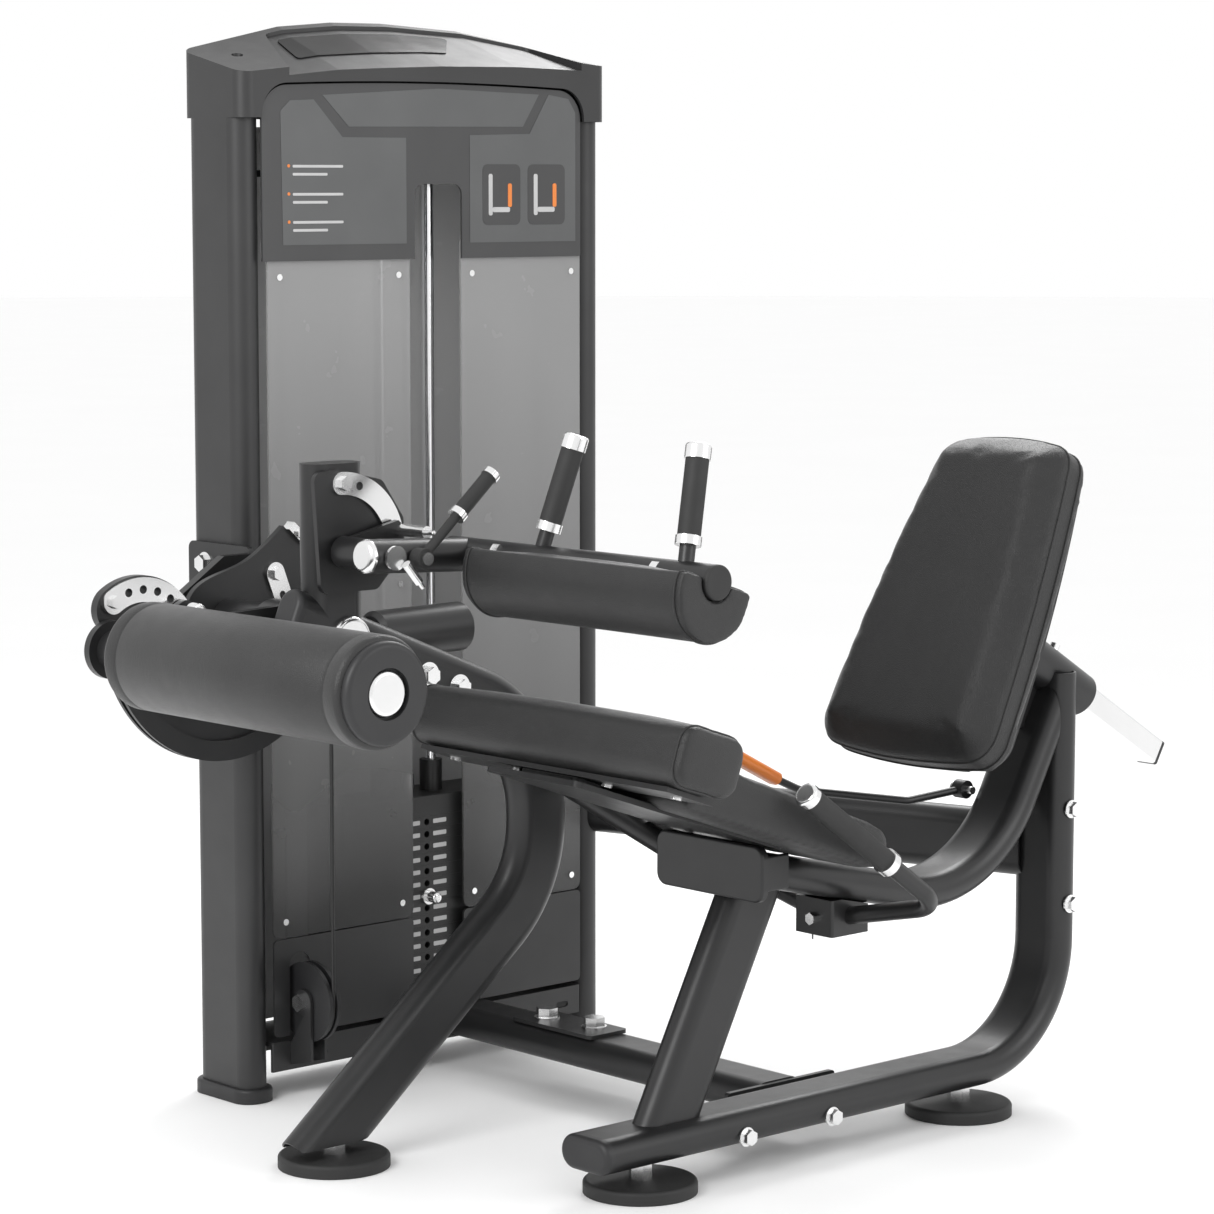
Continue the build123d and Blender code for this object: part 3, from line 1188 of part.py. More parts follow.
with BuildPart() as side_handles:
    with BuildSketch(Plane(origin=handle_route.line @ 0, z_dir=handle_route.line % 0)) as handle_face:
        Circle(HANDLE_R)
    sweep(handle_face.sketch, path=handle_route.line)
save(side_handles, "side_handles")


def on_handles(start, length, radius, bore=0):
    """The same piece on both side handles, measured down from their upper ends."""
    down = Vector(158 + 104, 0, 383 - 568).normalized()
    for side in (-1, 1):
        at = Vector(-104, SEAT_Y + side * HANDLE_Y, 568) + down * start
        with BuildSketch(Plane(origin=at, x_dir=SIDE, z_dir=down)) as face:
            Circle(radius)
            if bore:
                Circle(bore, mode=Mode.SUBTRACT)
        extrude(face.sketch, amount=length)


with BuildPart() as side_grips:
    on_handles(0, 180, GRIP_R, HANDLE_R)
save(side_grips, "side_grips")

with BuildPart() as side_grip_trim:
    on_handles(-14, 14, 18)
    fillet(side_grip_trim.faces().sort_by(Axis.X)[:2].edges(), 5)
    on_handles(180, 14, 19, HANDLE_R)
save(side_grip_trim, "side_grip_trim")

with BuildPart() as handle_clamp:
    round_box((112, 190), (SEAT_Y - 38, SEAT_Y + 38), (318, 372), 5)
    add(side_handles.part, mode=Mode.SUBTRACT)
    rail_underside = (rail_path.line @ 0) - rail_up * TUBE_THIN / 2
    with BuildSketch(Plane(origin=rail_underside, x_dir=SIDE, z_dir=rail_up)) as rail_cut:
        Rectangle(400, 1400)
    extrude(rail_cut.sketch, amount=60, mode=Mode.SUBTRACT)

with BuildPart() as clamp_bolts:
    for x in (122, 180):
        hex_bolt(Plane(origin=(x, SEAT_Y, 318), z_dir=(0, 0, -1)), 16, 8, grip=0)
    hex_bolt(Plane(origin=(112, SEAT_Y, 342), z_dir=(-1, 0, 0)), 16, 8, grip=0)

# ------------------------------------------------------------------ back release

RELEASE_PIVOT = (505, 480)
RELEASE_Y = -240


def release_plane(offset):
    """A plane across the back release's pivot, facing the tower."""
    return Plane(origin=(RELEASE_PIVOT[0], RELEASE_Y + offset, RELEASE_PIVOT[1]), z_dir=(0, 1, 0))


with BuildPart() as back_release_pin:
    disc(release_plane(-22), 6, 38)
    disc(release_plane(12), 10, 5)
    add(seat_rail.part, mode=Mode.SUBTRACT)

with BuildLine() as release_route:
    FilletPolyline(
        (RELEASE_PIVOT[0], RELEASE_Y, RELEASE_PIVOT[1]), (410, -215, 469), (269, -125, 490),
        (215, -125, 514), radius=30,
    )

with BuildPart() as back_release_rod:
    with BuildSketch(Plane(origin=release_route.line @ 0, z_dir=release_route.line % 0)) as release_face:
        Circle(6)
    sweep(release_face.sketch, path=release_route.line)
    disc(release_plane(-10), 14, 20)
    disc(release_plane(-30), 6 + RUN_GAP, 60, mode=Mode.SUBTRACT)
save(back_release_rod, "back_release_rod")

with BuildPart() as back_release_handle:
    handle_along = Vector(117 - 215, 0, 564 - 514).normalized()
    with BuildSketch(Plane(origin=(215, -125, 514), x_dir=SIDE, z_dir=handle_along)) as release_grip_face:
        SlotOverall(30, 20)
    extrude(release_grip_face.sketch, amount=108)
    fillet(back_release_handle.faces().sort_by(Axis.X)[0].edges(), 6)
    add(back_release_rod.part, mode=Mode.SUBTRACT)
save(back_release_handle, "back_release_handle")

# ------------------------------------------------------------------ backrest

back_normal = Vector(-cos(radians(RECLINE)), 0, sin(radians(RECLINE)))
BACK_TALL = 500
BACK_THICK = 86
BACK_BEVEL = 34
BACK_LOW_HALF = 172
BACK_TOP_HALF = 124
SIDE_BOW = 12
back_middle = Vector(378, SEAT_Y, 807.5)
back_rear = back_middle - back_normal * BACK_THICK


def backrest_outline(inset, plane):
    """The backrest's outline: narrower at the top, with bowed ends and round corners."""
    with BuildSketch(plane) as outline:
        with BuildLine():
            half = BACK_TALL / 2 - inset
            low = BACK_LOW_HALF - inset
            top = BACK_TOP_HALF - inset
            ThreePointArc((-low, -half), (0, -half - 14), (low, -half))
            ThreePointArc((low, -half), ((low + top) / 2 + SIDE_BOW, 0), (top, half))
            ThreePointArc((top, half), (0, half + 14), (-top, half))
            ThreePointArc((-top, half), (-(low + top) / 2 - SIDE_BOW, 0), (-low, -half))
        make_face()
        fillet(outline.vertices(), 44 - inset * 0.5)
    return outline.sketch


rear_plane = Plane(origin=back_rear, x_dir=SIDE * -1, z_dir=back_normal)

with BuildPart() as backrest_pad:
    extrude(backrest_outline(0, rear_plane), amount=BACK_THICK)
    chamfer(backrest_pad.faces().sort_by(Axis(back_rear, back_normal))[-1].edges(), BACK_BEVEL)
save(backrest_pad, "backrest_pad")

with BuildPart() as backrest_plate:
    extrude(backrest_outline(16, rear_plane), amount=-9)

axis_reach = (back_rear - Vector(SLEEVE_A[0], SEAT_Y, SLEEVE_A[1])).dot(slide_dir)
SLIDE_TAIL = 361.1

with BuildPart() as slide_tube:
    with BuildSketch(sleeve_plane.offset(axis_reach - 30)) as slide_face:
        RectangleRounded(SLIDE_TUBE, SLIDE_TUBE, 4)
        RectangleRounded(SLIDE_TUBE - 6, SLIDE_TUBE - 6, 2, mode=Mode.SUBTRACT)
    extrude(slide_face.sketch, amount=SLIDE_TAIL - axis_reach + 30)
    extrude(backrest_outline(0, rear_plane.offset(-9)), amount=200, mode=Mode.SUBTRACT)
save(slide_tube, "slide_tube")

with BuildPart() as slide_tube_plug:
    with BuildSketch(sleeve_plane.offset(SLIDE_TAIL)) as plug_face:
        RectangleRounded(SLIDE_TUBE, SLIDE_TUBE, 4)
    extrude(plug_face.sketch, amount=6)

with BuildPart() as backrest_mount:
    with BuildSketch(rear_plane.offset(-9)) as mount_face:
        with Locations((0, 4)):
            RectangleRounded(130, 150, 12)
    extrude(mount_face.sketch, amount=-6)
    with BuildSketch(sleeve_plane) as mount_cut:
        Rectangle(SLIDE_TUBE, SLIDE_TUBE)
    extrude(mount_cut.sketch, amount=300, both=True, mode=Mode.SUBTRACT)

with BuildPart() as sleeve_knob:
    knob_dir = Vector(-slide_dir.Z, 0, slide_dir.X)
    knob_at = Vector(SLEEVE_A[0], SEAT_Y, SLEEVE_A[1]) + slide_dir * 70 + knob_dir * (SLEEVE_R - 1)
    disc(Plane(origin=knob_at, z_dir=knob_dir), 9, 10)
    add(sleeve_core.part, mode=Mode.SUBTRACT)

with BuildPart() as back_gusset:
    with BuildSketch(xz(SEAT_Y + 4)) as gusset_face:
        with BuildLine():
            Polyline((528, 588), (548, 676), (604, 650), (604, 560), close=True)
        make_face()
    extrude(gusset_face.sketch, amount=8)
    add(sleeve_core.part, mode=Mode.SUBTRACT)
    with BuildSketch(Plane(origin=(594, SEAT_Y, 400), z_dir=(1, 0, 0))) as post_side:
        Rectangle(200, 900)
    extrude(post_side.sketch, amount=50, mode=Mode.SUBTRACT)
    sweep(oval_section(rail_path.line, True, wall=0), path=rail_path.line, mode=Mode.SUBTRACT)

# ------------------------------------------------------------------ grouped nodes

save_set("end_caps", beam_end_cap, base_end_cap, upright_boots)
save_set("pivot_pins", knee_axle, axle_cap, thigh_pivot_pin, back_release_pin)
save_set(
    "frame_hardware", beam_bolts, frame_bolts, splice_bolts, bracket_bolts, sector_bolt, clamp_bolts,
    bolster_screws, panel_screws, sleeve_knob, bottom_pulley_bolt, foot_stems,
)
save_set("frame_braces", strut, seat_cross_bracket, leg_brace)
save_set(
    "joint_plates", splice_plate, base_flange, tower_bearing_plate, handle_clamp, thigh_bracket_plate,
    back_gusset,
)
save_set("rubber_mounts", rubber_feet, stack_cushions)
save_set("tower_cross_members", bottom_channel, crosshead, bottom_pulley_bracket, top_pulley_brackets)
save_set("seat_pans", seat_pan, bolster_plate, bolster_block)
save_set("lever_arms", lever_arm, counterweight_arm, cam_upper_plate)
save_set(
    "lever_hardware", roller_index_plate, cam_index_plate, lever_stop, cam_bolts, crank_bolt, cable_clamp
)
save_set("roller_crank", roller_crank, roller_shaft)
save_set("roller_core", roller_sleeve, roller_end_disc)
save_set("head_plate", head_plate, stack_bushes)
save_set("thigh_frame", thigh_arm, thigh_tube, thigh_handle_rods)
save_set(
    "thigh_trim", plunger_barrel, thigh_latch, thigh_arm_cap, thigh_clips, thigh_collars, thigh_handle_caps,
    release_lever_pin,
)
save_set("thigh_grips", thigh_grips, thigh_tube_caps)
save_set("release_lever", release_lever, release_lever_grip, release_lever_trim)
save_set("backrest_plate", backrest_plate, backrest_mount, slide_tube_plug)
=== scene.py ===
import json
import math

import bmesh
import bpy
from mathutils import Matrix, Vector


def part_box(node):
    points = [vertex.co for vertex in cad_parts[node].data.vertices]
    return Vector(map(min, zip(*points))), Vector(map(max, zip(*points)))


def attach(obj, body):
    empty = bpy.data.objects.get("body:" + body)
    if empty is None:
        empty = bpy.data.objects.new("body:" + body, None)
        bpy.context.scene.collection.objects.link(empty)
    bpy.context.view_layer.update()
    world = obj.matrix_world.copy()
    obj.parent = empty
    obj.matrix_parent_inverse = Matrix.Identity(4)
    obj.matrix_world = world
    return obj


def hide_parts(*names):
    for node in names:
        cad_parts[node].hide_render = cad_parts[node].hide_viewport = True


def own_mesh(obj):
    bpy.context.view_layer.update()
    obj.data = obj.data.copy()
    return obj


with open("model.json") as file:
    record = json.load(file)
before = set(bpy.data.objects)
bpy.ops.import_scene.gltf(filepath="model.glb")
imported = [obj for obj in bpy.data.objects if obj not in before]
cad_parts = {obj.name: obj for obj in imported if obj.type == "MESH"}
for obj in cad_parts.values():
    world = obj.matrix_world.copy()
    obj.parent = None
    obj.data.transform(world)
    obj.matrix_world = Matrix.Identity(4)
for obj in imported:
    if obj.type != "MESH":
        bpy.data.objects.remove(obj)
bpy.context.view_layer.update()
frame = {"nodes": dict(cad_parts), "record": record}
nodes = frame["nodes"]


# ---------------------------------------------------------------- material tools

def new_material(name):
    """An empty node material with its output and a Principled shader."""
    material = bpy.data.materials.new(name)
    material.use_nodes = True
    tree = material.node_tree
    shader = tree.nodes["Principled BSDF"]
    return material, tree, shader


def add_node(tree, kind, **values):
    """A shader node with its named inputs or properties set."""
    node = tree.nodes.new(kind)
    for key, value in values.items():
        if key in node.inputs:
            node.inputs[key].default_value = value
        else:
            setattr(node, key, value)
    return node


def object_coords(tree, stretch=(1, 1, 1)):
    """Object coordinates in metres, optionally stretched along an axis."""
    coords = tree.nodes.new("ShaderNodeTexCoord")
    mapping = tree.nodes.new("ShaderNodeMapping")
    mapping.inputs["Scale"].default_value = stretch
    tree.links.new(coords.outputs["Object"], mapping.inputs["Vector"])
    return mapping.outputs["Vector"]


def tint(tree, shader, vector, colour, other, scale, detail=4.0):
    """Slow colour variation between two close colours."""
    noise = add_node(tree, "ShaderNodeTexNoise", Scale=scale, Detail=detail)
    ramp = tree.nodes.new("ShaderNodeValToRGB")
    ramp.color_ramp.elements[0].position = 0.35
    ramp.color_ramp.elements[0].color = (*colour, 1)
    ramp.color_ramp.elements[1].position = 0.7
    ramp.color_ramp.elements[1].color = (*other, 1)
    tree.links.new(vector, noise.inputs["Vector"])
    tree.links.new(noise.outputs["Fac"], ramp.inputs["Fac"])
    tree.links.new(ramp.outputs["Color"], shader.inputs["Base Color"])


def vary_roughness(tree, shader, vector, low, high, scale):
    """Roughness that wanders between two values, as handled paint and steel do."""
    noise = add_node(tree, "ShaderNodeTexNoise", Scale=scale, Detail=3.0)
    remap = tree.nodes.new("ShaderNodeMapRange")
    remap.inputs["To Min"].default_value = low
    remap.inputs["To Max"].default_value = high
    tree.links.new(vector, noise.inputs["Vector"])
    tree.links.new(noise.outputs["Fac"], remap.inputs["Value"])
    tree.links.new(remap.outputs["Result"], shader.inputs["Roughness"])


def bump(tree, shader, height, strength, distance):
    """Surface relief from a height output."""
    relief = add_node(tree, "ShaderNodeBump", Strength=strength, Distance=distance)
    tree.links.new(height, relief.inputs["Height"])
    tree.links.new(relief.outputs["Normal"], shader.inputs["Normal"])


def powder_coat(name, colour, other, rough):
    """Satin powder coat: fine orange peel, slow tint and roughness changes."""
    material, tree, shader = new_material(name)
    vector = object_coords(tree)
    tint(tree, shader, vector, colour, other, 7.0)
    vary_roughness(tree, shader, vector, rough - 0.05, rough + 0.08, 30.0)
    peel = add_node(tree, "ShaderNodeTexNoise", Scale=1400.0, Detail=2.0)
    tree.links.new(vector, peel.inputs["Vector"])
    bump(tree, shader, peel.outputs["Fac"], 0.12, 0.0004)
    return material


def metal(name, colour, rough, stretch, depth):
    """Bare or plated steel with fine drawn lines along one axis."""
    material, tree, shader = new_material(name)
    shader.inputs["Metallic"].default_value = 1.0
    vector = object_coords(tree, stretch)
    tint(tree, shader, vector, colour, [part * 0.95 for part in colour], 9.0)
    vary_roughness(tree, shader, vector, rough - 0.03, rough + 0.04, 14.0)
    lines = add_node(tree, "ShaderNodeTexNoise", Scale=600.0, Detail=3.0)
    tree.links.new(vector, lines.inputs["Vector"])
    bump(tree, shader, lines.outputs["Fac"], depth, 0.0003)
    return material


def leather(name, colour, other, rough, scale, depth):
    """Upholstery vinyl: pebbled grain in two sizes and a faint sheen."""
    material, tree, shader = new_material(name)
    vector = object_coords(tree)
    tint(tree, shader, vector, colour, other, 9.0)
    vary_roughness(tree, shader, vector, rough - 0.06, rough + 0.08, 40.0)
    shader.inputs["Sheen Weight"].default_value = 0.08
    shader.inputs["Sheen Roughness"].default_value = 0.5
    pebble = add_node(tree, "ShaderNodeTexVoronoi", Scale=scale, feature="DISTANCE_TO_EDGE")
    fine = add_node(tree, "ShaderNodeTexNoise", Scale=scale * 2.5, Detail=4.0)
    joined = add_node(tree, "ShaderNodeMath", operation="MULTIPLY_ADD")
    joined.inputs[1].default_value = 0.25
    for node in (pebble, fine):
        tree.links.new(vector, node.inputs["Vector"])
    tree.links.new(fine.outputs["Fac"], joined.inputs[0])
    tree.links.new(pebble.outputs["Distance"], joined.inputs[2])
    bump(tree, shader, joined.outputs["Value"], depth, 0.0012)
    return material


def moulded(name, colour, other, rough, scale, depth, gloss=0.5):
    """Moulded plastic or rubber with a spark-eroded texture."""
    material, tree, shader = new_material(name)
    vector = object_coords(tree)
    tint(tree, shader, vector, colour, other, 11.0)
    vary_roughness(tree, shader, vector, rough - 0.05, rough + 0.07, 35.0)
    shader.inputs["Specular IOR Level"].default_value = gloss
    grain = add_node(tree, "ShaderNodeTexNoise", Scale=scale, Detail=5.0)
    tree.links.new(vector, grain.inputs["Vector"])
    bump(tree, shader, grain.outputs["Fac"], depth, 0.0006)
    return material


def frosted(name, painted_shade_grey, mid, pale, alpha):
    """Smoked acrylic: translucent grey with painted shade that darkens it towards the stack at the bottom,
    and soft upright bands of painted highlight.
    """
    material, tree, shader = new_material(name)
    vector = object_coords(tree)
    split = tree.nodes.new("ShaderNodeSeparateXYZ")
    tree.links.new(vector, split.inputs["Vector"])
    # Painted highlight: soft lighter upright streaks, noise stretched along z, that sway the grey
    painted_highlight_bands = add_node(tree, "ShaderNodeTexNoise", Scale=5.0, Detail=1.0)
    tree.links.new(object_coords(tree, (1, 0, 0.06)), painted_highlight_bands.inputs["Vector"])
    sway = add_node(tree, "ShaderNodeMath", operation="MULTIPLY_ADD")
    sway.inputs[1].default_value = 0.35
    tree.links.new(painted_highlight_bands.outputs["Fac"], sway.inputs[0])
    tree.links.new(split.outputs["Z"], sway.inputs[2])
    height = tree.nodes.new("ShaderNodeMapRange")
    height.inputs["From Min"].default_value = 0.45
    height.inputs["From Max"].default_value = 1.35
    tree.links.new(sway.outputs["Value"], height.inputs["Value"])
    # Painted shade: the grey runs from dark low down, by the stack, to pale at the top
    ramp = tree.nodes.new("ShaderNodeValToRGB")
    ramp.color_ramp.elements[0].color = (painted_shade_grey, painted_shade_grey, painted_shade_grey, 1)
    ramp.color_ramp.elements[1].color = (pale, pale, pale, 1)
    middle = ramp.color_ramp.elements.new(0.3)
    middle.color = (mid, mid, mid, 1)
    tree.links.new(height.outputs["Result"], ramp.inputs["Fac"])
    tree.links.new(ramp.outputs["Color"], shader.inputs["Base Color"])
    vary_roughness(tree, shader, vector, 0.22, 0.3, 20.0)
    shader.inputs["Alpha"].default_value = alpha
    shader.inputs["Specular IOR Level"].default_value = 0.45
    return material


MATERIALS = {
    "frame_paint": powder_coat("frame_paint", (0.011, 0.011, 0.0115), (0.015, 0.015, 0.0155), 0.34),
    "tower_paint": powder_coat("tower_paint", (0.021, 0.021, 0.0215), (0.027, 0.027, 0.0275), 0.42),
    "stack_paint": powder_coat("stack_paint", (0.012, 0.012, 0.012), (0.018, 0.018, 0.018), 0.4),
    "bright_steel": metal("bright_steel", (0.86, 0.86, 0.86), 0.2, (1, 1, 1), 0.02),
    "polished_rod": metal("polished_rod", (0.92, 0.92, 0.93), 0.16, (4, 4, 0.2), 0.01),
    "pad_cover": leather("pad_cover", (0.005, 0.005, 0.0052), (0.008, 0.008, 0.0082), 0.44, 420.0, 0.6),
    "roller_foam": leather("roller_foam", (0.010, 0.010, 0.0102), (0.015, 0.015, 0.0152), 0.44, 380.0, 0.5),
    "black_rubber": moulded("black_rubber", (0.014, 0.014, 0.014), (0.02, 0.02, 0.02), 0.62, 900.0, 0.3),
    "black_plastic": moulded(
        "black_plastic", (0.014, 0.014, 0.015), (0.018, 0.018, 0.019), 0.45, 1100.0, 0.2
    ),
    "gloss_black": moulded(
        "gloss_black", (0.003, 0.003, 0.003), (0.005, 0.005, 0.005), 0.16, 300.0, 0.01, 0.12
    ),
    # The frosted greys hold painted shade low down and painted highlight streaks
    "frosted_panel": frosted("frosted_panel", 0.045, 0.20, 0.34, 0.72),
    # Painted backlight: the back panel's greys are paler than the front's, with the same painted shade and
    # highlight streaks
    "frosted_back_painted_backlight": frosted("frosted_back_painted_backlight", 0.10, 0.55, 0.75, 0.85),
    "placard_print": moulded(
        "placard_print", (0.042, 0.042, 0.043), (0.048, 0.048, 0.049), 0.4, 500.0, 0.03
    ),
    "placard_light": moulded(
        "placard_light", (0.085, 0.087, 0.088), (0.095, 0.097, 0.098), 0.35, 500.0, 0.03
    ),
    "white_print": moulded("white_print", (0.52, 0.52, 0.52), (0.46, 0.46, 0.46), 0.5, 500.0, 0.02),
    "orange_plastic": moulded("orange_plastic", (0.72, 0.2, 0.035), (0.78, 0.23, 0.04), 0.35, 700.0, 0.1),
    "cable_cover": moulded("cable_cover", (0.01, 0.01, 0.01), (0.014, 0.014, 0.014), 0.4, 800.0, 0.1),
}

for part in frame["record"]["subparts"]:
    for holder in nodes[part["node"]].material_slots:
        holder.material = MATERIALS[part["material_slot"]]


# The back is frosted like the front, but it is seen against the light: its paler greys are painted
# backlight
for holder in nodes["back_panel"].material_slots:
    holder.material = MATERIALS["frosted_back_painted_backlight"]


# ---------------------------------------------------------------- piece tools

def new_object(name, mesh, body, slot, smooth=True):
    """Link a mesh as a piece that rides on a body and wears a slot's material."""
    piece = bpy.data.objects.new(name, mesh)
    bpy.context.collection.objects.link(piece)
    mesh.materials.clear()
    mesh.materials.append(MATERIALS[slot])
    for polygon in mesh.polygons:
        polygon.use_smooth = smooth
    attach(piece, body)
    return piece


def apply_modifiers(piece):
    """Replace a piece's mesh by what its modifiers make of it."""
    graph = bpy.context.evaluated_depsgraph_get()
    mesh = bpy.data.meshes.new_from_object(piece.evaluated_get(graph))
    piece.modifiers.clear()
    piece.data = mesh


def lathe(name, body, slot, centre, profile, axis="Y", segments=96):
    """A turned piece: (radius, place along the axis) pairs spun about an axis."""
    shape = bmesh.new()
    rings = []
    for radius, along in profile:
        ring = []
        for step in range(segments):
            turn = 2 * math.pi * step / segments
            across = (radius * math.cos(turn), radius * math.sin(turn))
            spot = {
                "X": (along, across[0], across[1]), "Y": (across[0], along, across[1]),
                "Z": (across[0], across[1], along),
            }[axis]
            ring.append(shape.verts.new(Vector(centre) + Vector(spot)))
        rings.append(ring)
    for low, high in zip(rings, rings[1:]):
        for step in range(segments):
            after = (step + 1) % segments
            shape.faces.new((low[step], low[after], high[after], high[step]))
    bmesh.ops.remove_doubles(shape, verts=shape.verts, dist=1e-6)
    bmesh.ops.recalc_face_normals(shape, faces=shape.faces)
    mesh = bpy.data.meshes.new(name)
    shape.to_mesh(mesh)
    shape.free()
    return new_object(name, mesh, body, slot)


def piping(name, points, body, slot, radius=0.0016):
    """A closed welt that follows a seam."""
    curve = bpy.data.curves.new(name, "CURVE")
    curve.dimensions = "3D"
    curve.bevel_depth = radius
    curve.bevel_resolution = 3
    spline = curve.splines.new("POLY")
    spline.points.add(len(points) - 1)
    for point, place in zip(spline.points, points):
        point.co = (*place, 1)
    spline.use_cyclic_u = True
    piece = bpy.data.objects.new(name, curve)
    bpy.context.collection.objects.link(piece)
    curve.materials.append(MATERIALS[slot])
    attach(piece, body)
    return piece


# ---------------------------------------------------------------- upholstery

# A cover starts this far inside its solid, then swells under this pressure for this many frames
PAD_SHRINK = 0.003
PAD_PRESSURE = 4
SIM_FRAMES = 20
PAD_VOXEL = 0.006
PAD_SWELL = 0.004
THIGH_VOXEL = 0.005
THIGH_SWELL = 0.003
RECLINE = math.radians(28)

def cushion(node, body, slot, voxel, cap):
    """A stuffed cover: the CAD solid remeshed, drawn in, then blown up as cloth."""
    source = nodes[node]
    mesh = source.data.copy()
    piece = new_object(node + "_cover", mesh, body, slot)
    remesh = piece.modifiers.new("remesh", "REMESH")
    remesh.mode = "VOXEL"
    remesh.voxel_size = voxel
    smooth = piece.modifiers.new("smooth", "SMOOTH")
    smooth.iterations = 6
    apply_modifiers(piece)
    start = [vertex.co.copy() for vertex in piece.data.vertices]
    for vertex, place in zip(piece.data.vertices, start):
        vertex.co = place - vertex.normal * PAD_SHRINK
    inflate(piece)
    for vertex, place in zip(piece.data.vertices, start):
        move = vertex.co - place
        if move.length > cap:
            vertex.co = place + move * (cap / move.length)
    soften = piece.modifiers.new("soften", "SMOOTH")
    soften.iterations = 3
    divide = piece.modifiers.new("divide", "SUBSURF")
    divide.levels = 1
    divide.render_levels = 1
    apply_modifiers(piece)
    piece.data.materials.clear()
    piece.data.materials.append(MATERIALS[slot])
    for polygon in piece.data.polygons:
        polygon.use_smooth = True
    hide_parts(node)
    return piece


def inflate(piece):
    """Run a short cloth simulation with inner pressure and keep its shape."""
    cloth = piece.modifiers.new("cloth", "CLOTH")
    settings = cloth.settings
    settings.use_pressure = True
    settings.uniform_pressure_force = PAD_PRESSURE
    settings.tension_stiffness = 40
    settings.compression_stiffness = 40
    settings.bending_stiffness = 8
    settings.effector_weights.gravity = 0
    cloth.point_cache.frame_start = 1
    cloth.point_cache.frame_end = SIM_FRAMES
    for step in range(1, SIM_FRAMES + 1):
        bpy.context.scene.frame_set(step)
    apply_modifiers(piece)
    bpy.context.scene.frame_set(1)


def seam(name, cover, body, spot, normal, proud=0.0006):
    """A welt where a plane cuts a cover, lifted a little off its skin."""
    shape = bmesh.new()
    shape.from_mesh(cover.data)
    everything = shape.verts[:] + shape.edges[:] + shape.faces[:]
    cut = bmesh.ops.bisect_plane(shape, geom=everything, plane_co=spot, plane_no=normal)["geom_cut"]
    edges = [part for part in cut if isinstance(part, bmesh.types.BMEdge)]
    middle = sum((edge.verts[0].co for edge in edges), Vector()) / len(edges)
    linked = {}
    for edge in edges:
        for vertex, other in (edge.verts, reversed(edge.verts)):
            linked.setdefault(vertex, []).append(other)
    here = edges[0].verts[0]
    seen = [here]
    while True:
        ahead = [vertex for vertex in linked[here] if vertex not in seen]
        if not ahead:
            break
        here = ahead[0]
        seen.append(here)
    points = [vertex.co + (vertex.co - middle).normalized() * proud for vertex in seen[::3]]
    shape.free()
    return piping(name, points, body, "pad_cover")


cushion("seat_pad", "frame", "pad_cover", PAD_VOXEL, PAD_SWELL)
bolster_cover = cushion("bolster_pad", "frame", "pad_cover", PAD_VOXEL, PAD_SWELL)
back_cover = cushion("backrest_pad", "backrest", "pad_cover", PAD_VOXEL, PAD_SWELL)
thigh_cover = cushion("thigh_pad", "thigh", "pad_cover", THIGH_VOXEL, THIGH_SWELL)


def pad_seams():
    """Seams near the ends of the long pads and round the backrest's edge."""
    for node, cover, body, inset in (
        ("bolster_pad", bolster_cover, "frame", 0.016), ("thigh_pad", thigh_cover, "thigh", 0.014)
    ):
        low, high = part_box(node)
        for end, place in (("near", low[1] + inset), ("far", high[1] - inset)):
            seam(f"{node}_{end}_seam", cover, body, (0, place, 0), (0, 1, 0))
    low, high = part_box("backrest_pad")
    middle = (Vector(low) + Vector(high)) / 2
    forward = Vector((-math.cos(RECLINE), 0, math.sin(RECLINE)))
    for end, reach in (("front", 0.014), ("rear", -0.014)):
        seam(f"backrest_{end}_seam", back_cover, "backrest", middle + forward * reach, forward)


pad_seams()


def roller_cover():
    """The foam roller: a crowned sleeve with a stitched seam near each end."""
    low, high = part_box("roller_pad")
    radius = (high[0] - low[0]) / 2
    centre = ((low[0] + high[0]) / 2, 0, (low[2] + high[2]) / 2)
    bore = 0.0318
    near, far = low[1], high[1]
    edge = 0.009
    inset = 0.03
    groove = 0.003
    profile = [(bore, near), (radius - edge, near)]
    for step in range(1, 9):
        turn = math.pi / 2 * step / 8
        profile.append((radius - edge + edge * math.sin(turn), near + edge * (1 - math.cos(turn))))
    for place in (near + inset, far - inset):
        profile += [(radius, place - groove), (radius - groove / 2, place), (radius, place + groove)]
    for step in range(8, 0, -1):
        turn = math.pi / 2 * step / 8
        profile.append((radius - edge + edge * math.sin(turn), far - edge * (1 - math.cos(turn))))
    profile += [(radius - edge, far), (bore, far), (bore, near)]
    piece = lathe("roller_cover", "roller", "roller_foam", centre, profile)
    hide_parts("roller_pad")


roller_cover()


# ---------------------------------------------------------------- small details

PRINT_THICK = 0.0004

def flat_panel(name, outline, y, body, slot, thick=PRINT_THICK):
    """A thin printed panel that faces -Y, from its (x, z) corners in metres."""
    shape = bmesh.new()
    front = [shape.verts.new((x, y - thick, z)) for x, z in outline]
    back = [shape.verts.new((x, y, z)) for x, z in outline]
    shape.faces.new(front)
    shape.faces.new(back[::-1])
    for step in range(len(outline)):
        after = (step + 1) % len(outline)
        shape.faces.new((front[step], back[step], back[after], front[after]))
    bmesh.ops.recalc_face_normals(shape, faces=shape.faces)
    mesh = bpy.data.meshes.new(name)
    shape.to_mesh(mesh)
    shape.free()
    new_object(name, mesh, body, slot, smooth=False)


def rounded(low_x, high_x, low_z, high_z, radius):
    """The corners of a rounded rectangle, anticlockwise."""
    spots = []
    for x, z, start in (
        (high_x - radius, low_z + radius, -90), (high_x - radius, high_z - radius, 0),
        (low_x + radius, high_z - radius, 90), (low_x + radius, low_z + radius, 180),
    ):
        for step in range(7):
            turn = math.radians(start + 15 * step)
            spots.append((x + radius * math.cos(turn), z + radius * math.sin(turn)))
    return spots


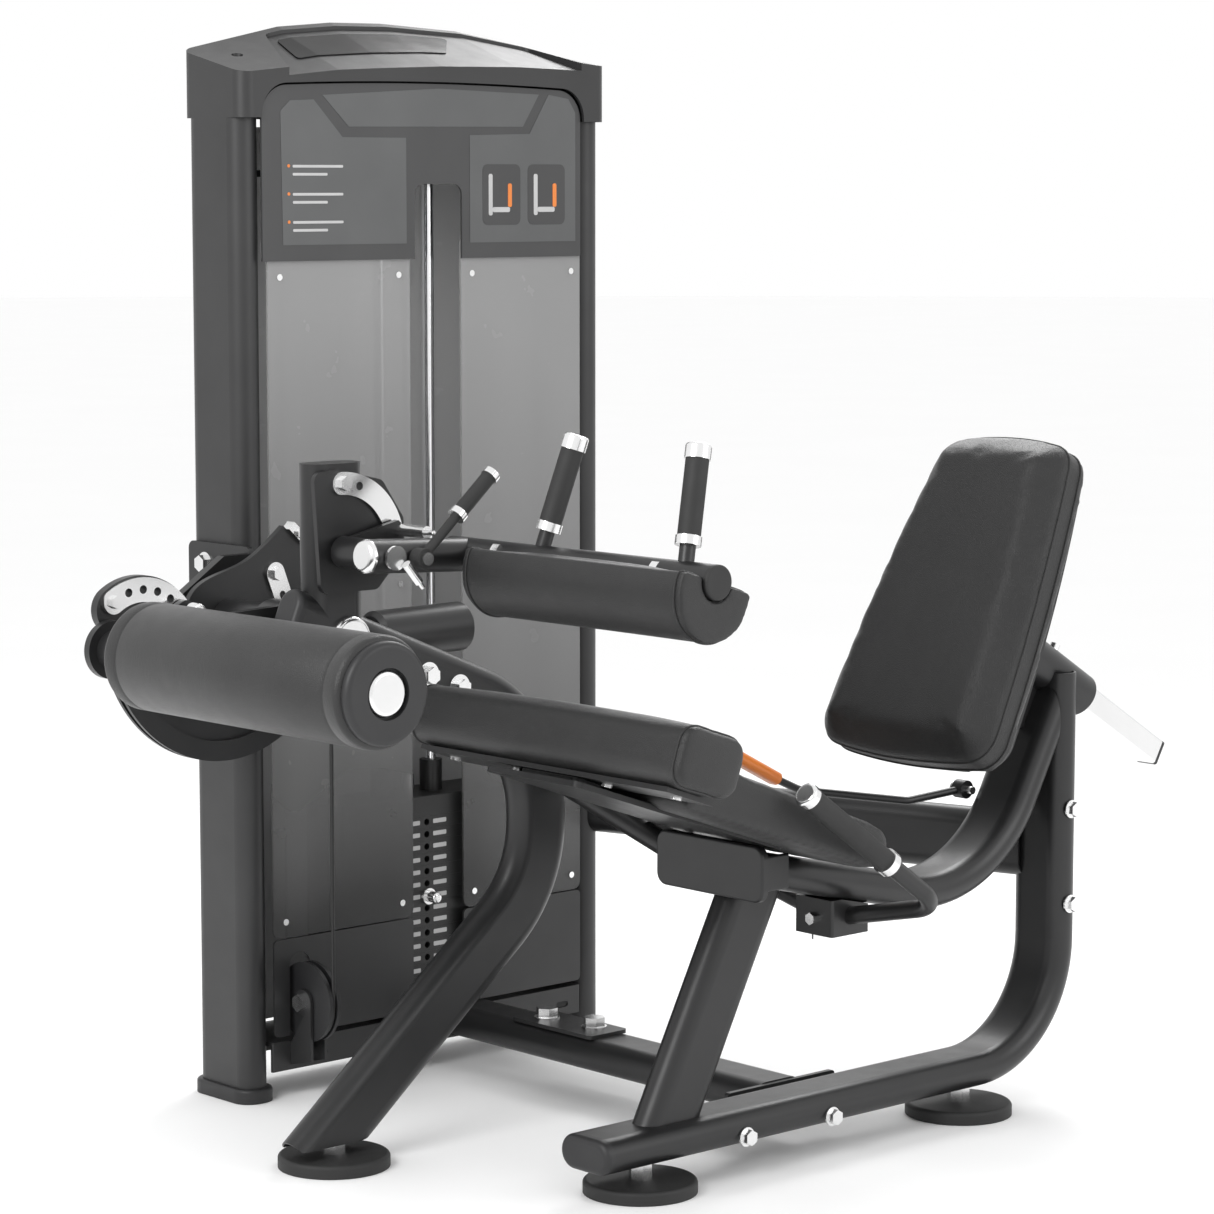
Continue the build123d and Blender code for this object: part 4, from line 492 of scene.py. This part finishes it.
def placard_art():
    """Plain panels and bars in place of the printed guide: no words and no figures."""
    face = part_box("placard")[0][1] - 0.0001
    left = [
        (-0.265, 1.308), (-0.026, 1.308), (-0.026, 1.470), (-0.150, 1.470), (-0.205, 1.526),
        (-0.250, 1.524), (-0.268, 1.508),
    ]
    right = [
        (0.102, 1.308), (0.323, 1.308), (0.323, 1.512), (0.308, 1.534), (0.266, 1.540), (0.226, 1.478),
        (0.102, 1.475),
    ]
    title = [(-0.138, 1.486), (0.212, 1.489), (0.246, 1.540), (0.040, 1.546), (-0.188, 1.533)]
    for part, outline in (("left", left), ("right", right), ("title", title)):
        flat_panel(f"placard_{part}", outline, face, "frame", "placard_light")
    front = face - PRINT_THICK

    def mark(name, x, z, radius, paint, layer=0):
        """A rounded mark between two x and two z values, on a layer of print."""
        flat_panel(name, rounded(*x, *z, radius), front - layer * PRINT_THICK, "frame", paint)

    for row, z in enumerate((1.424, 1.382, 1.340)):
        mark(f"guide_dot_{row}", (-0.256, -0.251), (z, z + 0.005), 0.0024, "orange_plastic")
        mark(f"guide_bar_{row}", (-0.246, -0.150), (z, z + 0.004), 0.0015, "white_print")
        mark(f"guide_line_{row}", (-0.246, -0.180), (z - 0.012, z - 0.008), 0.0015, "white_print")
    for column, x in enumerate((0.128, 0.222)):
        mark(f"guide_frame_{column}", (x, x + 0.078), (1.335, 1.430), 0.01, "placard_print")
        mark(f"guide_seat_{column}", (x + 0.02, x + 0.056), (1.355, 1.363), 0.003, "white_print", 1)
        mark(f"guide_tower_{column}", (x + 0.012, x + 0.02), (1.350, 1.415), 0.003, "white_print", 1)
        mark(f"guide_back_{column}", (x + 0.052, x + 0.06), (1.363, 1.400), 0.003, "orange_plastic", 1)


def stack_marks():
    """A pair of white bars on each weight plate, beside its pin hole."""
    for node, body, count in (("resting_plates", "frame", 8), ("lifted_plates", "stack", 7)):
        low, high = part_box(node)
        pitch = (high[2] - low[2] + 0.0002) / count
        middle = (low[0] + high[0]) / 2
        for row in range(count):
            z = low[2] + (row + 0.5) * pitch
            for side, near, far in (("left", -0.030, -0.014), ("right", 0.013, 0.040)):
                flat_panel(
                    f"{node}_mark_{side}_{row}",
                    rounded(middle + near, middle + far, z - 0.0035, z + 0.0035, 0.0015),
                    low[1], body, "white_print", 0.0003,
                )


def hood_plug():
    """The plug in the hood's roof."""
    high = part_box("hood")[1]
    profile = [(1e-5, 0.002), (0.006, 0.002), (0.0085, 0.0008), (0.0088, -0.004), (1e-5, -0.004)]
    piece = lathe("hood_plug", "frame", "black_rubber", (0, 0, 0), profile, axis="X")
    upright = Matrix.Rotation(math.radians(-90), 4, "Y")
    piece.matrix_world = Matrix.Translation((-0.290, 0.520, high[2] - 0.062)) @ upright


def cable_drop_line():
    """The cable above the stack, a fixed-length sleeve that rides with the stack; the real cable shortens
    as the stack rises and it winds on to its pulley.
    """
    low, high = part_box("cable_drop")
    centre = Vector(((low[0] + high[0]) / 2, (low[1] + high[1]) / 2, 0))
    radius = (high[0] - low[0]) / 2
    profile = [
        (radius - 0.0008, low[2]), (radius, low[2] + 0.001), (radius, high[2] - 0.001),
        (radius - 0.0008, high[2]),
    ]
    piece = lathe("cable_drop_line", "stack", "cable_cover", centre, profile, axis="Z", segments=24)
    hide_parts("cable_drop")
    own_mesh(piece)


def repaint(node, body, chooser):
    """Copies of a node's faces, one for each finish that the chooser names."""
    source = nodes[node].data
    groups = {}
    for polygon in source.polygons:
        groups.setdefault(chooser(polygon.center), []).append(list(polygon.vertices))
    for paint, faces in groups.items():
        used = sorted({vertex for face in faces for vertex in face})
        place = {vertex: step for step, vertex in enumerate(used)}
        mesh = bpy.data.meshes.new(f"{node}_{paint}")
        mesh.from_pydata(
            [source.vertices[vertex].co[:] for vertex in used], [],
            [[place[vertex] for vertex in face] for face in faces],
        )
        piece = new_object(f"{node}_{paint}", mesh, body, paint)
        weld = piece.modifiers.new("weld", "WELD")
        weld.merge_threshold = 1e-6
        crease = piece.modifiers.new("crease", "EDGE_SPLIT")
        crease.split_angle = math.radians(35)
        apply_modifiers(piece)
        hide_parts(node)


def lever_finish(spot):
    """The release lever's rod and grip are black; its collar and end cap are bright."""
    foot = Vector((-0.428, -0.078, 0.886))
    along = (Vector((-0.306, -0.078, 0.992)) - foot).normalized()
    reach = (spot - foot).dot(along)
    away = ((spot - foot) - along * reach).length
    collar = 0.0815 < reach < 0.0922 and away > 0.0075
    return "bright_steel" if collar or reach > 0.1612 else "black_rubber"


placard_art()
stack_marks()
hood_plug()
cable_drop_line()
repaint("release_lever", "thigh_lever", lever_finish)


# ---------------------------------------------------------------- stage

FLOOR_SIDES = 96


def floor():
    """A wide pale studio floor."""
    shape = bmesh.new()
    middle = shape.verts.new((0, 0, -0.0005))
    rings = []
    for reach in (2.0, 6.0, 18.0, 40.0):
        ring = []
        for step in range(FLOOR_SIDES):
            turn = 2 * math.pi * step / FLOOR_SIDES
            ring.append(shape.verts.new((reach * math.cos(turn), reach * math.sin(turn), -0.0005)))
        rings.append(ring)
    for step in range(FLOOR_SIDES):
        after = (step + 1) % FLOOR_SIDES
        shape.faces.new((middle, rings[0][step], rings[0][after]))
        for low, high in zip(rings, rings[1:]):
            shape.faces.new((low[step], high[step], high[after], low[after]))
    mesh = bpy.data.meshes.new("floor")
    shape.to_mesh(mesh)
    shape.free()
    ground = bpy.data.objects.new("floor", mesh)
    bpy.context.collection.objects.link(ground)
    material, tree, shader = new_material("pale_floor")
    vector = object_coords(tree)
    tint(tree, shader, vector, (0.98, 0.98, 0.98), (0.97, 0.97, 0.97), 1.5)
    shader.inputs["Roughness"].default_value = 0.8
    shader.inputs["Specular IOR Level"].default_value = 0.3
    mesh.materials.append(material)


def area_light(name, place, aim, size, power):
    """A soft square studio light that points at a spot."""
    data = bpy.data.lights.new(name, "AREA")
    data.energy = power
    data.size = size
    light = bpy.data.objects.new(name, data)
    light.location = place
    light.rotation_euler = (Vector(aim) - Vector(place)).to_track_quat("-Z", "Y").to_euler()
    bpy.context.collection.objects.link(light)


def studio():
    """Soft light from above, both sides and behind, with a white surround."""
    world = bpy.data.worlds.new("studio")
    world.use_nodes = True
    world.node_tree.nodes["Background"].inputs["Color"].default_value = (1, 1, 1, 1)
    world.node_tree.nodes["Background"].inputs["Strength"].default_value = 1.0
    bpy.context.scene.world = world
    area_light("key", (-3.2, -0.6, 2.6), (0, 0, 0.7), 1.6, 60)
    area_light("fill", (1.2, -3.4, 2.0), (0, 0, 0.6), 1.8, 25)
    area_light("rim", (2.2, 1.4, 2.9), (0, 0, 0.8), 1.4, 45)


def camera():
    """The photograph's viewpoint."""
    data = bpy.data.cameras.new("camera")
    data.sensor_width = 36
    data.lens = 110.35
    viewer = bpy.data.objects.new("camera", data)
    viewer.location = (-3.679, -4.038, 1.4054)
    viewer.rotation_euler = (math.radians(90 - 6.546), 0, math.radians(47.75 - 90))
    bpy.context.collection.objects.link(viewer)
    bpy.context.scene.camera = viewer


floor()
studio()
camera()
bpy.context.scene.view_settings.view_transform = "Standard"
